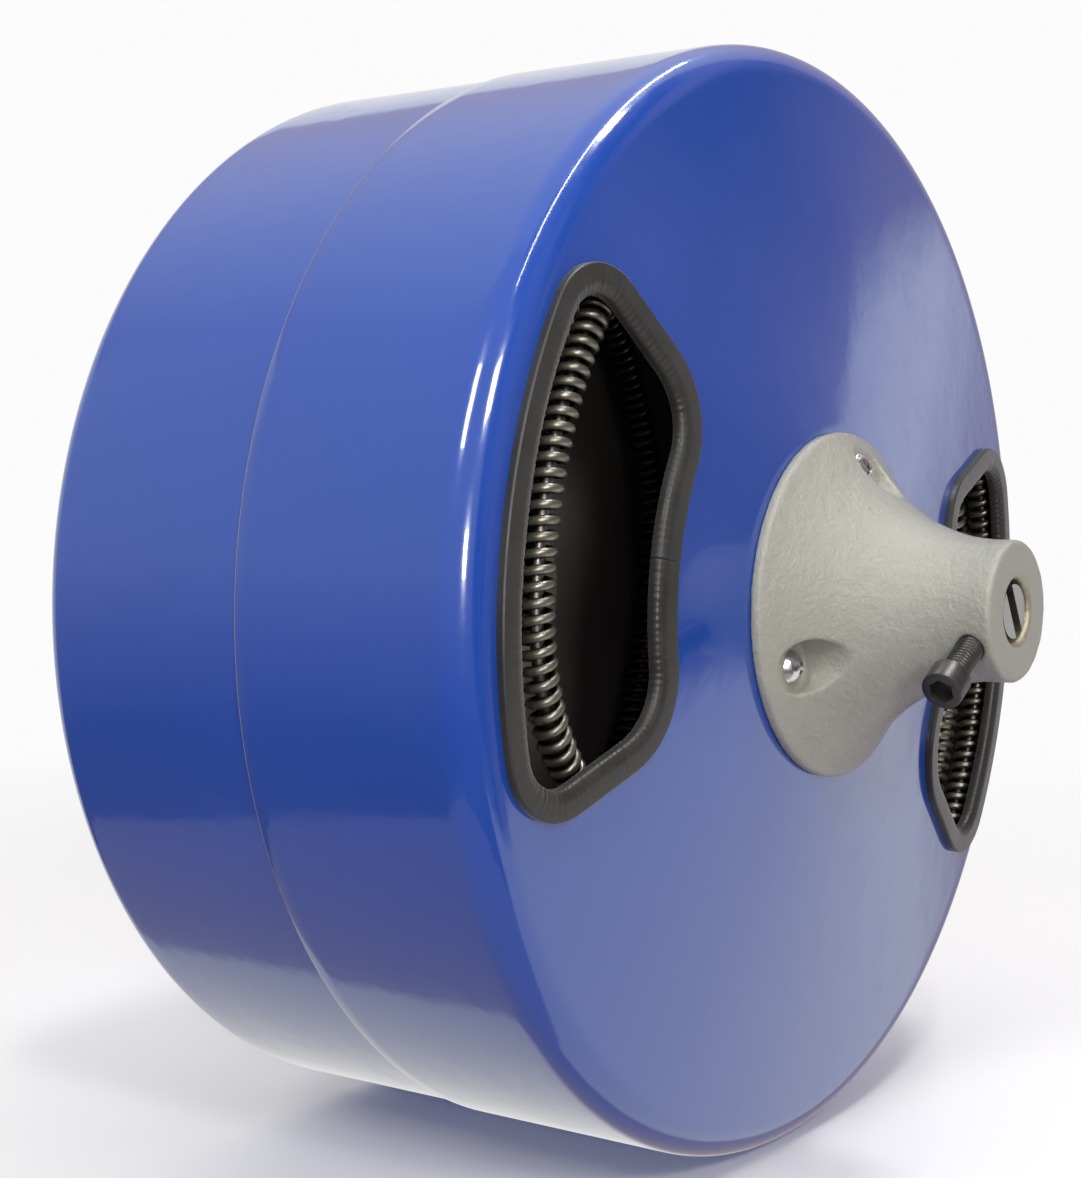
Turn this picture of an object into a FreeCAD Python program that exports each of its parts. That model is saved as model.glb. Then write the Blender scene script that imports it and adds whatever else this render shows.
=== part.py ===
"""Drum of a drum-type drain auger, with its wound cable, as separate pieces.

Frame: +Z is up and the drum turns about the Y axis. The nose of the front hub points to -Y.
The origin is the centre of the spindle bore in the rear hub. All lengths are millimetres.
Angles round the drum are measured from +Z towards +X.
"""
import FreeCAD, Part
import Sketcher
import math
import os
import re

Vector = FreeCAD.Vector
Rotation = FreeCAD.Rotation
Placement = FreeCAD.Placement

ALONG_X = Rotation(Vector(0, 1, 0), 90)
ALONG_Y = Rotation(Vector(1, 0, 0), -90)
NO_TURN = Rotation()

DIMENSIONS = {
    # general gaps, and how far a cutting tool reaches past the surface that it cuts
    "overcut": 1.0, "drill_depth": 10.0, "slip_gap": 0.1, "thread_slack": 0.05, "press_gap": 0.01,
    # drum shells
    "drum_radius": 203.2, "sheet_gauge": 1.5, "front_corner": 13.0, "rear_corner": 8.0,
    "hub_seat": -180.6, "face_drop": 15.0, "seam": -73.8, "lap": 12.0, "rear_face": 18.0,
    "cable_hole": 30.0, "window_cut_depth": 40.0, "window_cut_ahead": 15.0,
    # hand windows and their rubber edging
    "window_inner": 106.0, "window_outer": 189.6, "window_half_angle": 30.8,
    "window_left": -79.9, "window_right": 100.1,
    "window_corner_inner": 32.0, "window_corner_outer": 24.0,
    "trim_lap": 8.2, "trim_web": 2.0, "trim_proud": 3.0, "trim_inside": 1.2,
    # front hub
    "hub_radius": 63.0, "hub_edge": 3.6, "nose_radius": 24.9, "nose_end": -251.3,
    "flare_rise": 64.0, "flare_width": 109.2, "flare_height": 80.0,
    "hub_edge_round": 0.6, "nose_chamfer": 1.0, "hub_bore": 11.1, "bore_chamfer": 1.4,
    "bore_mouth": 5.0, "bore_mouth_depth": 8.0, "spigot": 6.0,
    "hub_screw_circle": 49.7, "hub_screw_start": 7.0, "pocket_floor": 6.8,
    "pocket_radius": 9.0, "pocket_flare": 4.0, "pocket_reach": 36.0,
    # hub screws, nuts and washers
    "hub_screw_radius": 3.17, "hub_screw_head": 6.1, "hub_screw_dome": 4.2,
    "hub_screw_length": 19.0, "recess_width": 1.5, "recess_reach": 6.7, "recess_depth": 2.4,
    "nut_radius": 6.4, "nut_height": 5.5, "lock_washer_radius": 5.8, "washer_thick": 1.5,
    "hole_slack": 0.2,
    # clamp screw
    "clamp_angle": -119.0, "clamp_y": -243.0, "clamp_radius": 4.75, "clamp_tip": 10.6,
    "clamp_head_start": 41.5, "clamp_head_radius": 7.15, "clamp_head_height": 9.5,
    "clamp_socket": 4.6, "clamp_socket_depth": 5.0,
    # cable
    "cable_radius": 6.35, "core_radius": 2.5, "coil_spacing": 12.9, "coil_inner": 162.5,
    "coil_shift": 2.5, "coil_pitch": 14.0, "coil_turns": 7.0, "coil_front": -159.9,
    "front_step": 1.4, "lead_back": -150.0, "bend_turn_y": -108.0, "wall_gap": 0.2,
    "held_turn": 24.0, "tail_turn": 401.0, "cross_turn": 90.0,
    # cable connector
    "connector_radius": 9.5, "connector_front": -249.9, "connector_length": 25.0,
    "connector_slot": 5.5, "connector_slot_depth": 9.0, "connector_slot_angle": 30.0,
    "connector_grip": 11.0, "connector_screw_radius": 2.0, "connector_screw_y": -244.5,
    "connector_screw_set": 0.2,
    # cable anchor on the rear wall
    "anchor_angle": 150.0, "anchor_circle": 168.0, "strap_width": 16.0, "strap_thick": 1.5,
    "strap_clearance": 0.6,
    "strap_foot": 15.0, "strap_half": 21.0, "anchor_bolt_radius": 3.0, "anchor_head": 5.6,
    "anchor_head_height": 4.0, "anchor_bolt_length": 14.0,
    # rear hub
    "rear_flange": 63.5, "rear_flange_thick": 9.0, "rear_flange_round": 2.0,
    "rear_boss_flare": 4.0, "barrel_radius": 36.0,
    "barrel_front": -31.0, "barrel_back": 33.0, "land_radius": 22.0, "land_half": 12.0,
    "rear_bolt_circle": 50.0, "rear_bolt_start": 30.0, "rear_bolt_radius": 3.95,
    "rear_bolt_head": 7.3, "rear_bolt_head_height": 5.3, "rear_bolt_length": 22.0,
    "rear_washer_radius": 7.7,
    # bearings
    "spindle_radius": 12.5, "bearing_radius": 26.0, "bearing_width": 15.0,
    "inner_shoulder": 17.0, "outer_shoulder": 22.0, "ball_circle": 19.5, "ball_radius": 3.95,
    "race_radius": 4.0, "seal_thick": 1.1, "seal_radius": 23.0, "seal_lip_gap": 0.08,
    "cage_half_width": 5.3, "cage_inner": 18.6, "cage_outer": 20.4, "pocket_slack": 0.15,
    "spacer_radius": 16.0, "ring_groove": 27.5, "ring_thick": 1.5, "ring_inner": 24.3,
    "ring_opening": 14.6,
}
ANCHOR_REACH = "anchor_circle + coil_shift * sin(anchor_angle) * anchor_circle / coil_inner"
HUB_SCREWS = 3
REAR_BOLTS = 6
BALLS = 9
HEXAGON = 6

doc = FreeCAD.newDocument("DrainAugerDrum")
dims = doc.addObject("Spreadsheet::Sheet", "Dims")
for row, (alias, number) in enumerate(DIMENSIONS.items(), start=1):
    dims.set(f"A{row}", alias)
    dims.set(f"B{row}", str(number))
    dims.setAlias(f"B{row}", alias)
doc.recompute()

FUNCTIONS = {"sin", "cos", "sqrt"}


def bound(expression):
    """Turn plain sheet names in an expression into references to the sheet's cells."""
    return re.sub(r"[a-z_]{2,}", lambda found: found[0] if found[0] in FUNCTIONS else "Dims." + found[0],
                  str(expression))


def value(expression):
    """The present value of an expression, for choosing edges and first guesses."""
    return float(dims.evalExpression(bound(expression)))


def bind(item, **expressions):
    for name, expression in expressions.items():
        item.setExpression(name, bound(expression))


def move(item, x="0", y="0", z="0", turn=NO_TURN):
    """Place an object at an expression for each coordinate."""
    item.Placement = Placement(Vector(value(x), value(y), value(z)), turn)
    for axis, expression in (("x", x), ("y", y), ("z", z)):
        item.setExpression("Placement.Base." + axis, bound(expression))
    return item


def orbit(item, radius, angle):
    """Carry an object built on the Y axis out to a radius, at an angle round the drum."""
    move(item, f"({radius}) * sin({angle})", "0", f"({radius}) * cos({angle})",
         Rotation(Vector(0, 1, 0), value(angle)))
    item.setExpression("Placement.Rotation.Angle", bound(angle))
    return item


def plane_of(body, role):
    return next(feature for feature in body.Origin.OriginFeatures if feature.Role == role)


def turned(label, points, arcs=()):
    """A body of revolution about Y, from (radius, y) corner expressions.

    arcs holds (index, geometry): the side after that corner is the given curve.
    """
    body = doc.addObject("PartDesign::Body", label + "_body")
    sketch = body.newObject("Sketcher::SketchObject", label + "_profile")
    sketch.AttachmentSupport = (plane_of(body, "XY_Plane"), "")
    sketch.MapMode = "FlatFace"
    corners = [Vector(value(x), value(y), 0) for x, y in points]
    curves = dict(arcs)
    for index, corner in enumerate(corners):
        following = corners[(index + 1) % len(corners)]
        sketch.addGeometry(curves.get(index, Part.LineSegment(corner, following)), False)
    for index, (x, y) in enumerate(points):
        if index in curves:
            sketch.addConstraint(Sketcher.Constraint("Block", index))
            continue
        sketch.addConstraint(Sketcher.Constraint("Coincident", index - 1 if index else len(points) - 1,
                                                 2, index, 1))
        if index - 1 in curves:
            continue
        for kind, expression in (("DistanceX", x), ("DistanceY", y)):
            place = sketch.addConstraint(Sketcher.Constraint(kind, index, 1, value(expression)))
            sketch.setExpression(f"Constraints[{place}]", bound(expression))
    spin = body.newObject("PartDesign::Revolution", label + "_turned")
    spin.Profile = sketch
    spin.ReferenceAxis = (sketch, ["V_Axis"])
    spin.Angle = 360
    doc.recompute()
    return body


def ring_edges(shape, places):
    """Names of the full-circle edges that lie at the given (radius, y) places."""
    wanted = [(value(radius), value(y)) for radius, y in places]
    names = []
    for index, edge in enumerate(shape.Edges, start=1):
        curve = edge.Curve
        if not isinstance(curve, Part.Circle):
            continue
        if any(abs(curve.Radius - radius) < 0.02 and abs(curve.Center.y - y) < 0.02
               for radius, y in wanted):
            names.append(f"Edge{index}")
    return names


def rounded(body, radius, places):
    """Fillet the circular edges of a turned body at the given (radius, y) places."""
    names = ring_edges(body.Shape, places)
    if not names:
        raise ValueError("no edge to round on " + body.Name)
    base = body.Tip
    fillet = body.newObject("PartDesign::Fillet", body.Name + "_fillet")
    fillet.Base = (base, names)
    fillet.Radius = value(radius)
    fillet.setExpression("Radius", bound(radius))
    body.Tip = fillet
    doc.recompute()
    return body


def cylinder(name, radius, height, turn=ALONG_Y, x="0", y="0", z="0"):
    item = doc.addObject("Part::Cylinder", name)
    bind(item, Radius=radius, Height=height)
    return move(item, x, y, z, turn)


def box(name, length, width, height, x="0", y="0", z="0"):
    """A box with its lowest corner at the given place."""
    item = doc.addObject("Part::Box", name)
    bind(item, Length=length, Width=width, Height=height)
    return move(item, x, y, z)


def hexagon(name, radius, height, turn=ALONG_Y, x="0", y="0", z="0"):
    item = doc.addObject("Part::Prism", name)
    item.Polygon = HEXAGON
    bind(item, Circumradius=radius, Height=height)
    return move(item, x, y, z, turn)


def fused(name, *items):
    result = doc.addObject("Part::MultiFuse", name)
    result.Shapes = list(items)
    return result


def cut(name, base, *tools):
    result = doc.addObject("Part::Cut", name)
    result.Base = base
    result.Tool = tools[0] if len(tools) == 1 else group(name + "_tools", tools)
    return result


def common(name, *items):
    result = doc.addObject("Part::MultiCommon", name)
    result.Shapes = list(items)
    return result


def group(name, items):
    result = doc.addObject("Part::Compound", name)
    result.Links = list(items)
    return result


def around(name, count, make, radius, start):
    """A ring of equal copies: make(name) builds each one on the Y axis."""
    copies = []
    for index in range(count):
        item = make(f"{name}_{index + 1}")
        copies.append(orbit(item, radius, f"{start} + {360 / count * index}"))
    return group(name, copies)


def hole_maker(radius, middle, depth="drill_depth"):
    """A maker of drills whose middle is at the y called middle."""
    return lambda name: group(name, [
        cylinder(name + "_drill", radius, depth, y=f"{middle} - ({depth}) / 2")])


# ---------------------------------------------------------------- windows and their edging

def window_prism(name, angle, inset):
    """A prism with the outline of a window, moved inwards from the edging's outer outline."""
    wedge = doc.addObject("Part::Cylinder", name + "_wedge")
    bind(wedge, Radius="drum_radius * 2", Height="window_cut_depth", Angle="window_half_angle * 2")
    apex = f"({inset}) / sin(window_half_angle)"
    turn = Rotation(Vector(0, 1, 0), value(f"{angle} - 90 - window_half_angle")).multiply(ALONG_Y)
    start = "hub_seat - window_cut_ahead"
    move(wedge, f"({apex}) * sin({angle})", start, f"({apex}) * cos({angle})", turn)
    outer = cylinder(name + "_outer", f"window_outer - ({inset})", "window_cut_depth", y=start)
    inner = cylinder(name + "_inner", f"window_inner + ({inset})", "window_cut_depth", y=start)
    ring = cut(name + "_ring", outer, inner)
    sector = common(name + "_sector", wedge, ring)
    doc.recompute()
    result = doc.addObject("Part::Fillet", name)
    result.Base = sector
    edges = []
    for index, edge in enumerate(sector.Shape.Edges, start=1):
        run = edge.tangentAt(edge.FirstParameter)
        if abs(abs(run.y) - 1) > 0.001:
            continue
        middle_point = edge.CenterOfMass
        reach = math.hypot(middle_point.x, middle_point.z)
        side = "window_corner_outer" if reach > value("(window_outer + window_inner) / 2") \
            else "window_corner_inner"
        corner = value(f"{side} - ({inset})")
        edges.append((index, corner, corner))
    result.Edges = edges
    doc.recompute()
    return result


def face_layer(name, front, back):
    """A disc that follows the front face's cone, between two distances from its outer side."""
    rim = "drum_radius - overcut"
    slope = f"face_drop * ({rim} - hub_radius) / (drum_radius - hub_radius)"
    return turned(name, [
        ("hub_radius", f"hub_seat + ({front})"), (rim, f"hub_seat + {slope} + ({front})"),
        (rim, f"hub_seat + {slope} + ({back})"), ("hub_radius", f"hub_seat + ({back})")])


def window_trim(label, angle):
    """Rubber edging: a channel that grips the sheet all round one window."""
    layer = face_layer(label + "_layer", "-trim_proud", "sheet_gauge + trim_inside")
    outside = window_prism(label + "_outside", angle, "0")
    inside = window_prism(label + "_inside", angle, "trim_lap + trim_web")
    band = common(label + "_band", layer, cut(label + "_frame", outside, inside))
    sheet = face_layer(label + "_sheet", "0", "sheet_gauge")
    opening = window_prism(label + "_opening", angle, "trim_lap")
    return cut(label, band, cut(label + "_groove", sheet, opening))


# ---------------------------------------------------------------- drum shells

def front_shell():
    """Dished front pan: flat hub seat, coned face, rounded rim and a skirt over the rear pan."""
    slope = "face_drop * (drum_radius - sheet_gauge - hub_radius) / (drum_radius - hub_radius)"
    pan = turned("front_pan", [
        ("cable_hole", "hub_seat"), ("hub_radius", "hub_seat"),
        ("drum_radius", "hub_seat + face_drop"), ("drum_radius", "seam"),
        ("drum_radius - sheet_gauge", "seam"),
        ("drum_radius - sheet_gauge", f"hub_seat + sheet_gauge + {slope}"),
        ("hub_radius", "hub_seat + sheet_gauge"), ("cable_hole", "hub_seat + sheet_gauge")])
    rounded(pan, "front_corner - sheet_gauge",
            [("drum_radius - sheet_gauge", f"hub_seat + sheet_gauge + {slope}")])
    rounded(pan, "front_corner", [("drum_radius", "hub_seat + face_drop")])
    holes = around("front_shell_holes", HUB_SCREWS,
                   hole_maker("hub_screw_radius + hole_slack", "hub_seat"),
                   "hub_screw_circle", "hub_screw_start")
    windows = group("front_shell_windows", [
        window_prism("front_shell_window_left", "window_left", "trim_lap"),
        window_prism("front_shell_window_right", "window_right", "trim_lap")])
    return cut("front_shell", cut("front_shell_drilled", pan, holes), windows)


def rear_shell():
    """Plain rear pan; its rim sits inside the front pan's skirt."""
    outside = "drum_radius - sheet_gauge"
    inside = "drum_radius - 2 * sheet_gauge"
    pan = turned("rear_pan", [
        (outside, "seam - lap"), (outside, "rear_face"), ("barrel_radius + slip_gap", "rear_face"),
        ("barrel_radius + slip_gap", "rear_face - sheet_gauge"), (inside, "rear_face - sheet_gauge"),
        (inside, "seam - lap")])
    rounded(pan, "rear_corner - sheet_gauge", [(inside, "rear_face - sheet_gauge")])
    rounded(pan, "rear_corner", [(outside, "rear_face")])
    hub_holes = around("rear_shell_holes", REAR_BOLTS,
                       hole_maker("rear_bolt_radius + hole_slack", "rear_face"),
                       "rear_bolt_circle", "rear_bolt_start")
    anchor_holes = group("rear_shell_anchor_holes", [
        orbit(hole_maker("anchor_bolt_radius + hole_slack", "rear_face")(
            f"anchor_hole_{side_name}"), f"{ANCHOR_REACH} {side} strap_foot", "anchor_angle")
        for side_name, side in (("inner", "-"), ("outer", "+"))])
    return cut("rear_shell", cut("rear_shell_drilled", pan, hub_holes), anchor_holes)


# ---------------------------------------------------------------- front hub and its fasteners

def front_hub():
    """Cast trumpet hub: flange, elliptical flare, nose with the cable bore, spigot behind."""
    centre = Vector(value("nose_radius + flare_width"), value("hub_seat - flare_rise"), 0)
    start_turn = math.asin(value("(flare_rise - hub_edge) / flare_height"))
    flare = Part.ArcOfEllipse(
        Part.Ellipse(centre, value("flare_width"), value("flare_height")),
        math.pi - start_turn, math.pi)
    flare_start = flare.value(flare.FirstParameter)
    blank = turned("hub_blank", [
        ("hub_bore + bore_mouth", "hub_seat + spigot"),
        ("cable_hole - slip_gap", "hub_seat + spigot"), ("cable_hole - slip_gap", "hub_seat"),
        ("hub_radius", "hub_seat"), ("hub_radius", "hub_seat - hub_edge + hub_edge_round"),
        (str(flare_start.x), str(flare_start.y)), ("nose_radius", "hub_seat - flare_rise"),
        ("nose_radius", "nose_end + nose_chamfer"), ("nose_radius - nose_chamfer", "nose_end"),
        ("hub_bore + bore_chamfer", "nose_end"), ("hub_bore", "nose_end + bore_chamfer"),
        ("hub_bore", "hub_seat + spigot - bore_mouth_depth")],
        arcs=[(5, flare)])

    def pocket(name):
        scoop = doc.addObject("Part::Cone", name + "_scoop")
        bind(scoop, Radius1="pocket_radius", Radius2="pocket_radius + pocket_flare",
             Height="pocket_reach")
        move(scoop, y="hub_seat - pocket_floor", turn=Rotation(Vector(1, 0, 0), 90))
        drill = cylinder(name + "_drill", "hub_screw_radius + hole_slack", "2 * drill_depth",
                         y="hub_seat - drill_depth")
        return fused(name, scoop, drill)

    pockets = around("hub_pockets", HUB_SCREWS, pocket, "hub_screw_circle", "hub_screw_start")
    clamp_hole = on_clamp_axis(cylinder(
        "clamp_hole", "clamp_radius + thread_slack", "nose_radius + drill_depth"))
    return cut("front_hub", cut("hub_pocketed", blank, pockets), clamp_hole)


def dome_screw(name):
    """Domed head with a crossed recess; the head's underside is at the pocket floor."""
    floor = "hub_seat - pocket_floor"
    ball = doc.addObject("Part::Sphere", name + "_dome")
    dome_ball = "(hub_screw_head ^ 2 + hub_screw_dome ^ 2) / (2 * hub_screw_dome)"
    bind(ball, Radius=dome_ball)
    move(ball, y=f"{floor} - hub_screw_dome + {dome_ball}")
    band = cylinder(name + "_band", "hub_screw_head", "hub_screw_dome",
                    y=f"{floor} - hub_screw_dome")
    head = common(name + "_head", ball, band)
    shank = cylinder(name + "_shank", "hub_screw_radius", "hub_screw_length", y=floor)
    slots = [
        box(name + "_slot_wide", "recess_reach", "recess_depth", "recess_width",
            "-recess_reach / 2", f"{floor} - hub_screw_dome", "-recess_width / 2"),
        box(name + "_slot_tall", "recess_width", "recess_depth", "recess_reach",
            "-recess_width / 2", f"{floor} - hub_screw_dome", "-recess_reach / 2")]
    return cut(name, fused(name + "_blank", head, shank), *slots)


def washer_at(y, hole, outside):
    def make(name):
        return cut(name, cylinder(name + "_disc", outside, "washer_thick", y=y),
                   cylinder(name + "_hole", hole, "washer_thick + 2 * overcut", y=f"{y} - overcut"))
    return make


def nut_at(y, hole, outside, height):
    def make(name):
        return cut(name, hexagon(name + "_hex", outside, height, y=y),
                   cylinder(name + "_hole", hole, f"{height} + 2 * overcut", y=f"{y} - overcut"))
    return make


def hub_fasteners():
    place = ("hub_screw_circle", "hub_screw_start")
    behind_sheet = "hub_seat + sheet_gauge"
    hole = "hub_screw_radius + thread_slack"
    return [
        around("hub_screws", HUB_SCREWS, dome_screw, *place),
        around("hub_lock_washers", HUB_SCREWS,
               washer_at(behind_sheet, hole, "lock_washer_radius"), *place),
        around("hub_nuts", HUB_SCREWS,
               nut_at(f"{behind_sheet} + washer_thick", hole, "nut_radius", "nut_height"), *place)]


def on_clamp_axis(item):
    """Carry an object built along +Z to the clamp screw's place in the nose."""
    move(item, "0", "clamp_y", "0", Rotation(Vector(0, 1, 0), value("clamp_angle")))
    item.setExpression("Placement.Rotation.Angle", bound("clamp_angle"))
    return item


def clamp_screw():
    """Socket-head cap screw that clamps the cable; its tip is just inside the bore."""
    shank = cylinder("clamp_shank", "clamp_radius", "clamp_head_start - clamp_tip",
                     turn=NO_TURN, z="clamp_tip")
    head = cylinder("clamp_head", "clamp_head_radius", "clamp_head_height",
                    turn=NO_TURN, z="clamp_head_start")
    socket = hexagon("clamp_socket_cut", "clamp_socket", "clamp_socket_depth + overcut", turn=NO_TURN,
                     z="clamp_head_start + clamp_head_height - clamp_socket_depth")
    return on_clamp_axis(cut("clamp_screw", fused("clamp_blank", shank, head), socket))


# ---------------------------------------------------------------- cable

def coil_point(radius, y, angle):
    """A point of the winding; the whole coil sits a little off centre, as a springy coil does."""
    across = math.sin(math.radians(angle))
    reach = radius + DIMENSIONS["coil_shift"] * across * radius / DIMENSIONS["coil_inner"]
    return Vector(reach * across, y, reach * math.cos(math.radians(angle)))


def coil_stages():
    """The winding from the anchor to the end of the innermost layer.

    Each stage is (layer, sweep, first radius, last radius, first y, last y). The outer layer
    is wound forwards, the middle one backwards and the inner one forwards.
    """
    spacing = DIMENSIONS["coil_spacing"]
    front = DIMENSIONS["coil_front"]
    step = DIMENSIONS["front_step"]
    anchor = DIMENSIONS["anchor_circle"]
    inner = DIMENSIONS["coil_inner"]
    middle = inner + spacing
    outer = middle + spacing
    back = front + DIMENSIONS["coil_pitch"] * DIMENSIONS["coil_turns"]
    wall = value("rear_face - sheet_gauge - cable_radius - wall_gap")
    layer = 360 * DIMENSIONS["coil_turns"]
    cross = DIMENSIONS["cross_turn"]
    return [
        ("outer", DIMENSIONS["held_turn"], anchor, anchor, wall, wall),
        ("outer", DIMENSIONS["tail_turn"], anchor, outer, wall, back),
        ("outer", layer, outer, outer, back, front + 2 * step),
        ("middle", cross, outer, middle, front + 2 * step, front + step),
        ("middle", layer, middle, middle, front + step, back),
        ("inner", cross, middle, inner, back, back),
        ("inner", layer, inner, inner, back, front)]


def coil_line():
    """Points of the winding's centre line and the direction at each one.

    Also gives the place in that list where each layer ends, and the angle of the last point.
    The cable is wound towards smaller angles.
    """
    arc_turn = 45
    small = 0.0001
    angle = DIMENSIONS["anchor_angle"] + DIMENSIONS["held_turn"] / 2
    points = []
    headings = []
    ends = {}
    for layer, sweep, first_radius, last_radius, first_y, last_y in coil_stages():
        def at(share):
            ease = share if first_radius == last_radius else share * share * (3 - 2 * share)
            return coil_point(first_radius + (last_radius - first_radius) * ease,
                              first_y + (last_y - first_y) * ease, angle - sweep * share)
        count = max(1, round(sweep / arc_turn))
        for index in range(count):
            points.append(at(index / count))
            headings.append((at(index / count + small) - at(index / count - small)).normalize())
        end = at(1)
        end_heading = (end - at(1 - small)).normalize()
        ends[layer] = len(points)
        angle -= sweep
    return points + [end], headings + [end_heading], ends, angle


def bend_line(start, heading, end_angle):
    """The cable leaves the innermost layer, winds in towards the axis and turns forwards."""
    inner = DIMENSIONS["coil_inner"]
    front = DIMENSIONS["coil_front"]
    drop = DIMENSIONS["bend_turn_y"] - front
    points = [start]
    for turn, share, dropped in ((22, 0.953, 0), (48, 0.75, 0.08), (90, 0.5, 0.5), (132, 0.28, 1)):
        points.append(coil_point(inner * share, front + drop * dropped, end_angle - turn))
    points.append(Vector(0, value("lead_back"), 0))
    headings = [heading]
    for before, after in zip(points, points[2:]):
        headings.append((after - before).normalize())
    headings.append(Vector(0, -1, 0))
    return points, headings


def arc_between(start, control, end):
    """The arc from start to end whose end tangents meet at the control point."""
    lean = (end - start).Length / (2 * (control - start).Length)
    middle = (start + control * (2 * lean) + end) * (1 / (2 * (1 + lean)))
    return Part.Arc(start, middle, end).toShape()


def two_arcs(start, start_heading, end, end_heading):
    """Two circular arcs that join two points and leave them along the given directions."""
    chord = end - start
    both = start_heading + end_heading
    spread = 2 * (1 - start_heading.dot(end_heading))
    ahead = chord.dot(both)
    reach = (math.sqrt(ahead * ahead + spread * chord.dot(chord)) - ahead) / spread
    first_control = start + start_heading * reach
    last_control = end - end_heading * reach
    joint = (first_control + last_control) * 0.5
    return [arc_between(start, first_control, joint), arc_between(joint, last_control, end)]


def swept(label, points, headings, radius):
    """A round bar along a smooth chain of arcs through the points."""
    edges = []
    for index in range(len(points) - 1):
        edges += two_arcs(points[index], headings[index], points[index + 1], headings[index + 1])
    ring = Part.Wire(Part.makeCircle(radius, points[0], headings[0]))
    item = doc.addObject("Part::Feature", label)
    item.Shape = Part.Wire(edges).makePipeShell([ring], True, True)
    return item


def cable_run():
    """The wound cable, one piece for each layer, and the bend that leads it to the axis."""
    points, headings, ends, end_angle = coil_line()
    radius = value("cable_radius")
    pieces = []
    start = 0
    for layer, end in ends.items():
        pieces.append(swept("cable_layer_" + layer, points[start:end + 1], headings[start:end + 1],
                            radius))
        start = end
    points, headings = bend_line(points[-1], headings[-1], end_angle)
    return pieces + [swept("cable_bend", points, headings, radius)]


def cable_lead():
    """Straight cable in the hub: the wound wire is a tube round the wire-rope core."""
    front = "connector_front + connector_length - connector_grip"
    tube = cut("cable_lead", cylinder("lead_tube", "cable_radius", f"lead_back - ({front})", y=front),
               cylinder("lead_hollow", "core_radius + thread_slack", f"lead_back - ({front})", y=front))
    core = cylinder("cable_core", "core_radius", f"lead_back - ({front})", y=front)
    return [tube, core]


def cable_connector():
    """Steel end fitting: slotted face, cross screw through the slot, socket for the cable."""
    body = cylinder("connector_bar", "connector_radius", "connector_length", y="connector_front")
    socket = cylinder("connector_socket", "cable_radius + thread_slack", "connector_grip + overcut",
                      y="connector_front + connector_length - connector_grip")
    slot = box("connector_slot_cut", "connector_slot", "connector_slot_depth",
               "connector_radius * 3", "-connector_slot / 2", "connector_front",
               "-connector_radius * 1.5")
    screw_hole = cylinder("connector_screw_hole", "connector_screw_radius + thread_slack",
                          "connector_radius * 3", turn=ALONG_X, x="-connector_radius * 1.5",
                          y="connector_screw_y")
    bar = cylinder("connector_screw_bar", "connector_screw_radius", "connector_radius * 2",
                   turn=ALONG_X, x="-connector_radius", y="connector_screw_y")
    limit = cylinder("connector_screw_limit", "connector_radius - connector_screw_set",
                     "connector_length", y="connector_front")
    screw = common("connector_screw", bar, limit)
    fitting = cut("cable_connector", body, socket, slot, screw_hole)
    for item in (fitting, screw):
        move(item, turn=Rotation(Vector(0, 1, 0), value("-connector_slot_angle")))
        item.setExpression("Placement.Rotation.Angle", bound("-connector_slot_angle"))
    return [fitting, screw]


def cable_anchor():
    """Strap that holds the cable's inner end to the rear wall, with its two bolts and nuts."""
    wall = "rear_face - sheet_gauge"
    centre = f"{wall} - cable_radius - wall_gap"
    tunnel = "cable_radius + strap_clearance"
    outside = f"{tunnel} + strap_thick"
    start = "-strap_width / 2"
    arch = cylinder("strap_arch", outside, "strap_width", turn=ALONG_X, x=start, y=centre)
    legs = box("strap_legs", "strap_width", f"{wall} - ({centre})", f"2 * ({outside})",
               start, centre, f"-({outside})")
    feet = box("strap_feet", "strap_width", "strap_thick", "2 * strap_half",
               start, f"{wall} - strap_thick", "-strap_half")
    wide = "strap_width + 2 * overcut"
    left = f"{start} - overcut"
    bore = cylinder("strap_bore", tunnel, wide, turn=ALONG_X, x=left, y=centre)
    gap = box("strap_gap", wide, "cable_radius + overcut", f"2 * ({tunnel})",
              left, centre, f"-({tunnel})")
    holes = [cylinder(f"strap_hole_{number}", "anchor_bolt_radius + hole_slack", "drill_depth",
                      y=f"{wall} - drill_depth / 2", z=f"{side}strap_foot")
             for number, side in ((1, "-"), (2, ""))]
    behind = box("strap_behind", wide, "2 * drill_depth", "4 * strap_half",
                 left, wall, "-2 * strap_half")
    strap = cut("cable_anchor_strap", fused("strap_blank", arch, legs, feet),
                bore, gap, behind, *holes)
    orbit(strap, ANCHOR_REACH, "anchor_angle")

    def bolt(name):
        return fused(name, cylinder(name + "_shank", "anchor_bolt_radius", "anchor_bolt_length",
                                    y="rear_face - anchor_bolt_length"),
                     hexagon(name + "_head", "anchor_head", "anchor_head_height", y="rear_face"))

    nut = nut_at(f"{wall} - strap_thick - anchor_head_height",
                 "anchor_bolt_radius + thread_slack", "anchor_head", "anchor_head_height")

    def pair(name, make):
        return group(name, [
            orbit(make(f"{name}_{number}"), f"{ANCHOR_REACH} {side} strap_foot", "anchor_angle")
            for number, side in ((1, "-"), (2, "+"))])

    return [strap, pair("anchor_bolts", bolt), pair("anchor_nuts", nut)]


# ---------------------------------------------------------------- rear hub and bearings

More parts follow.
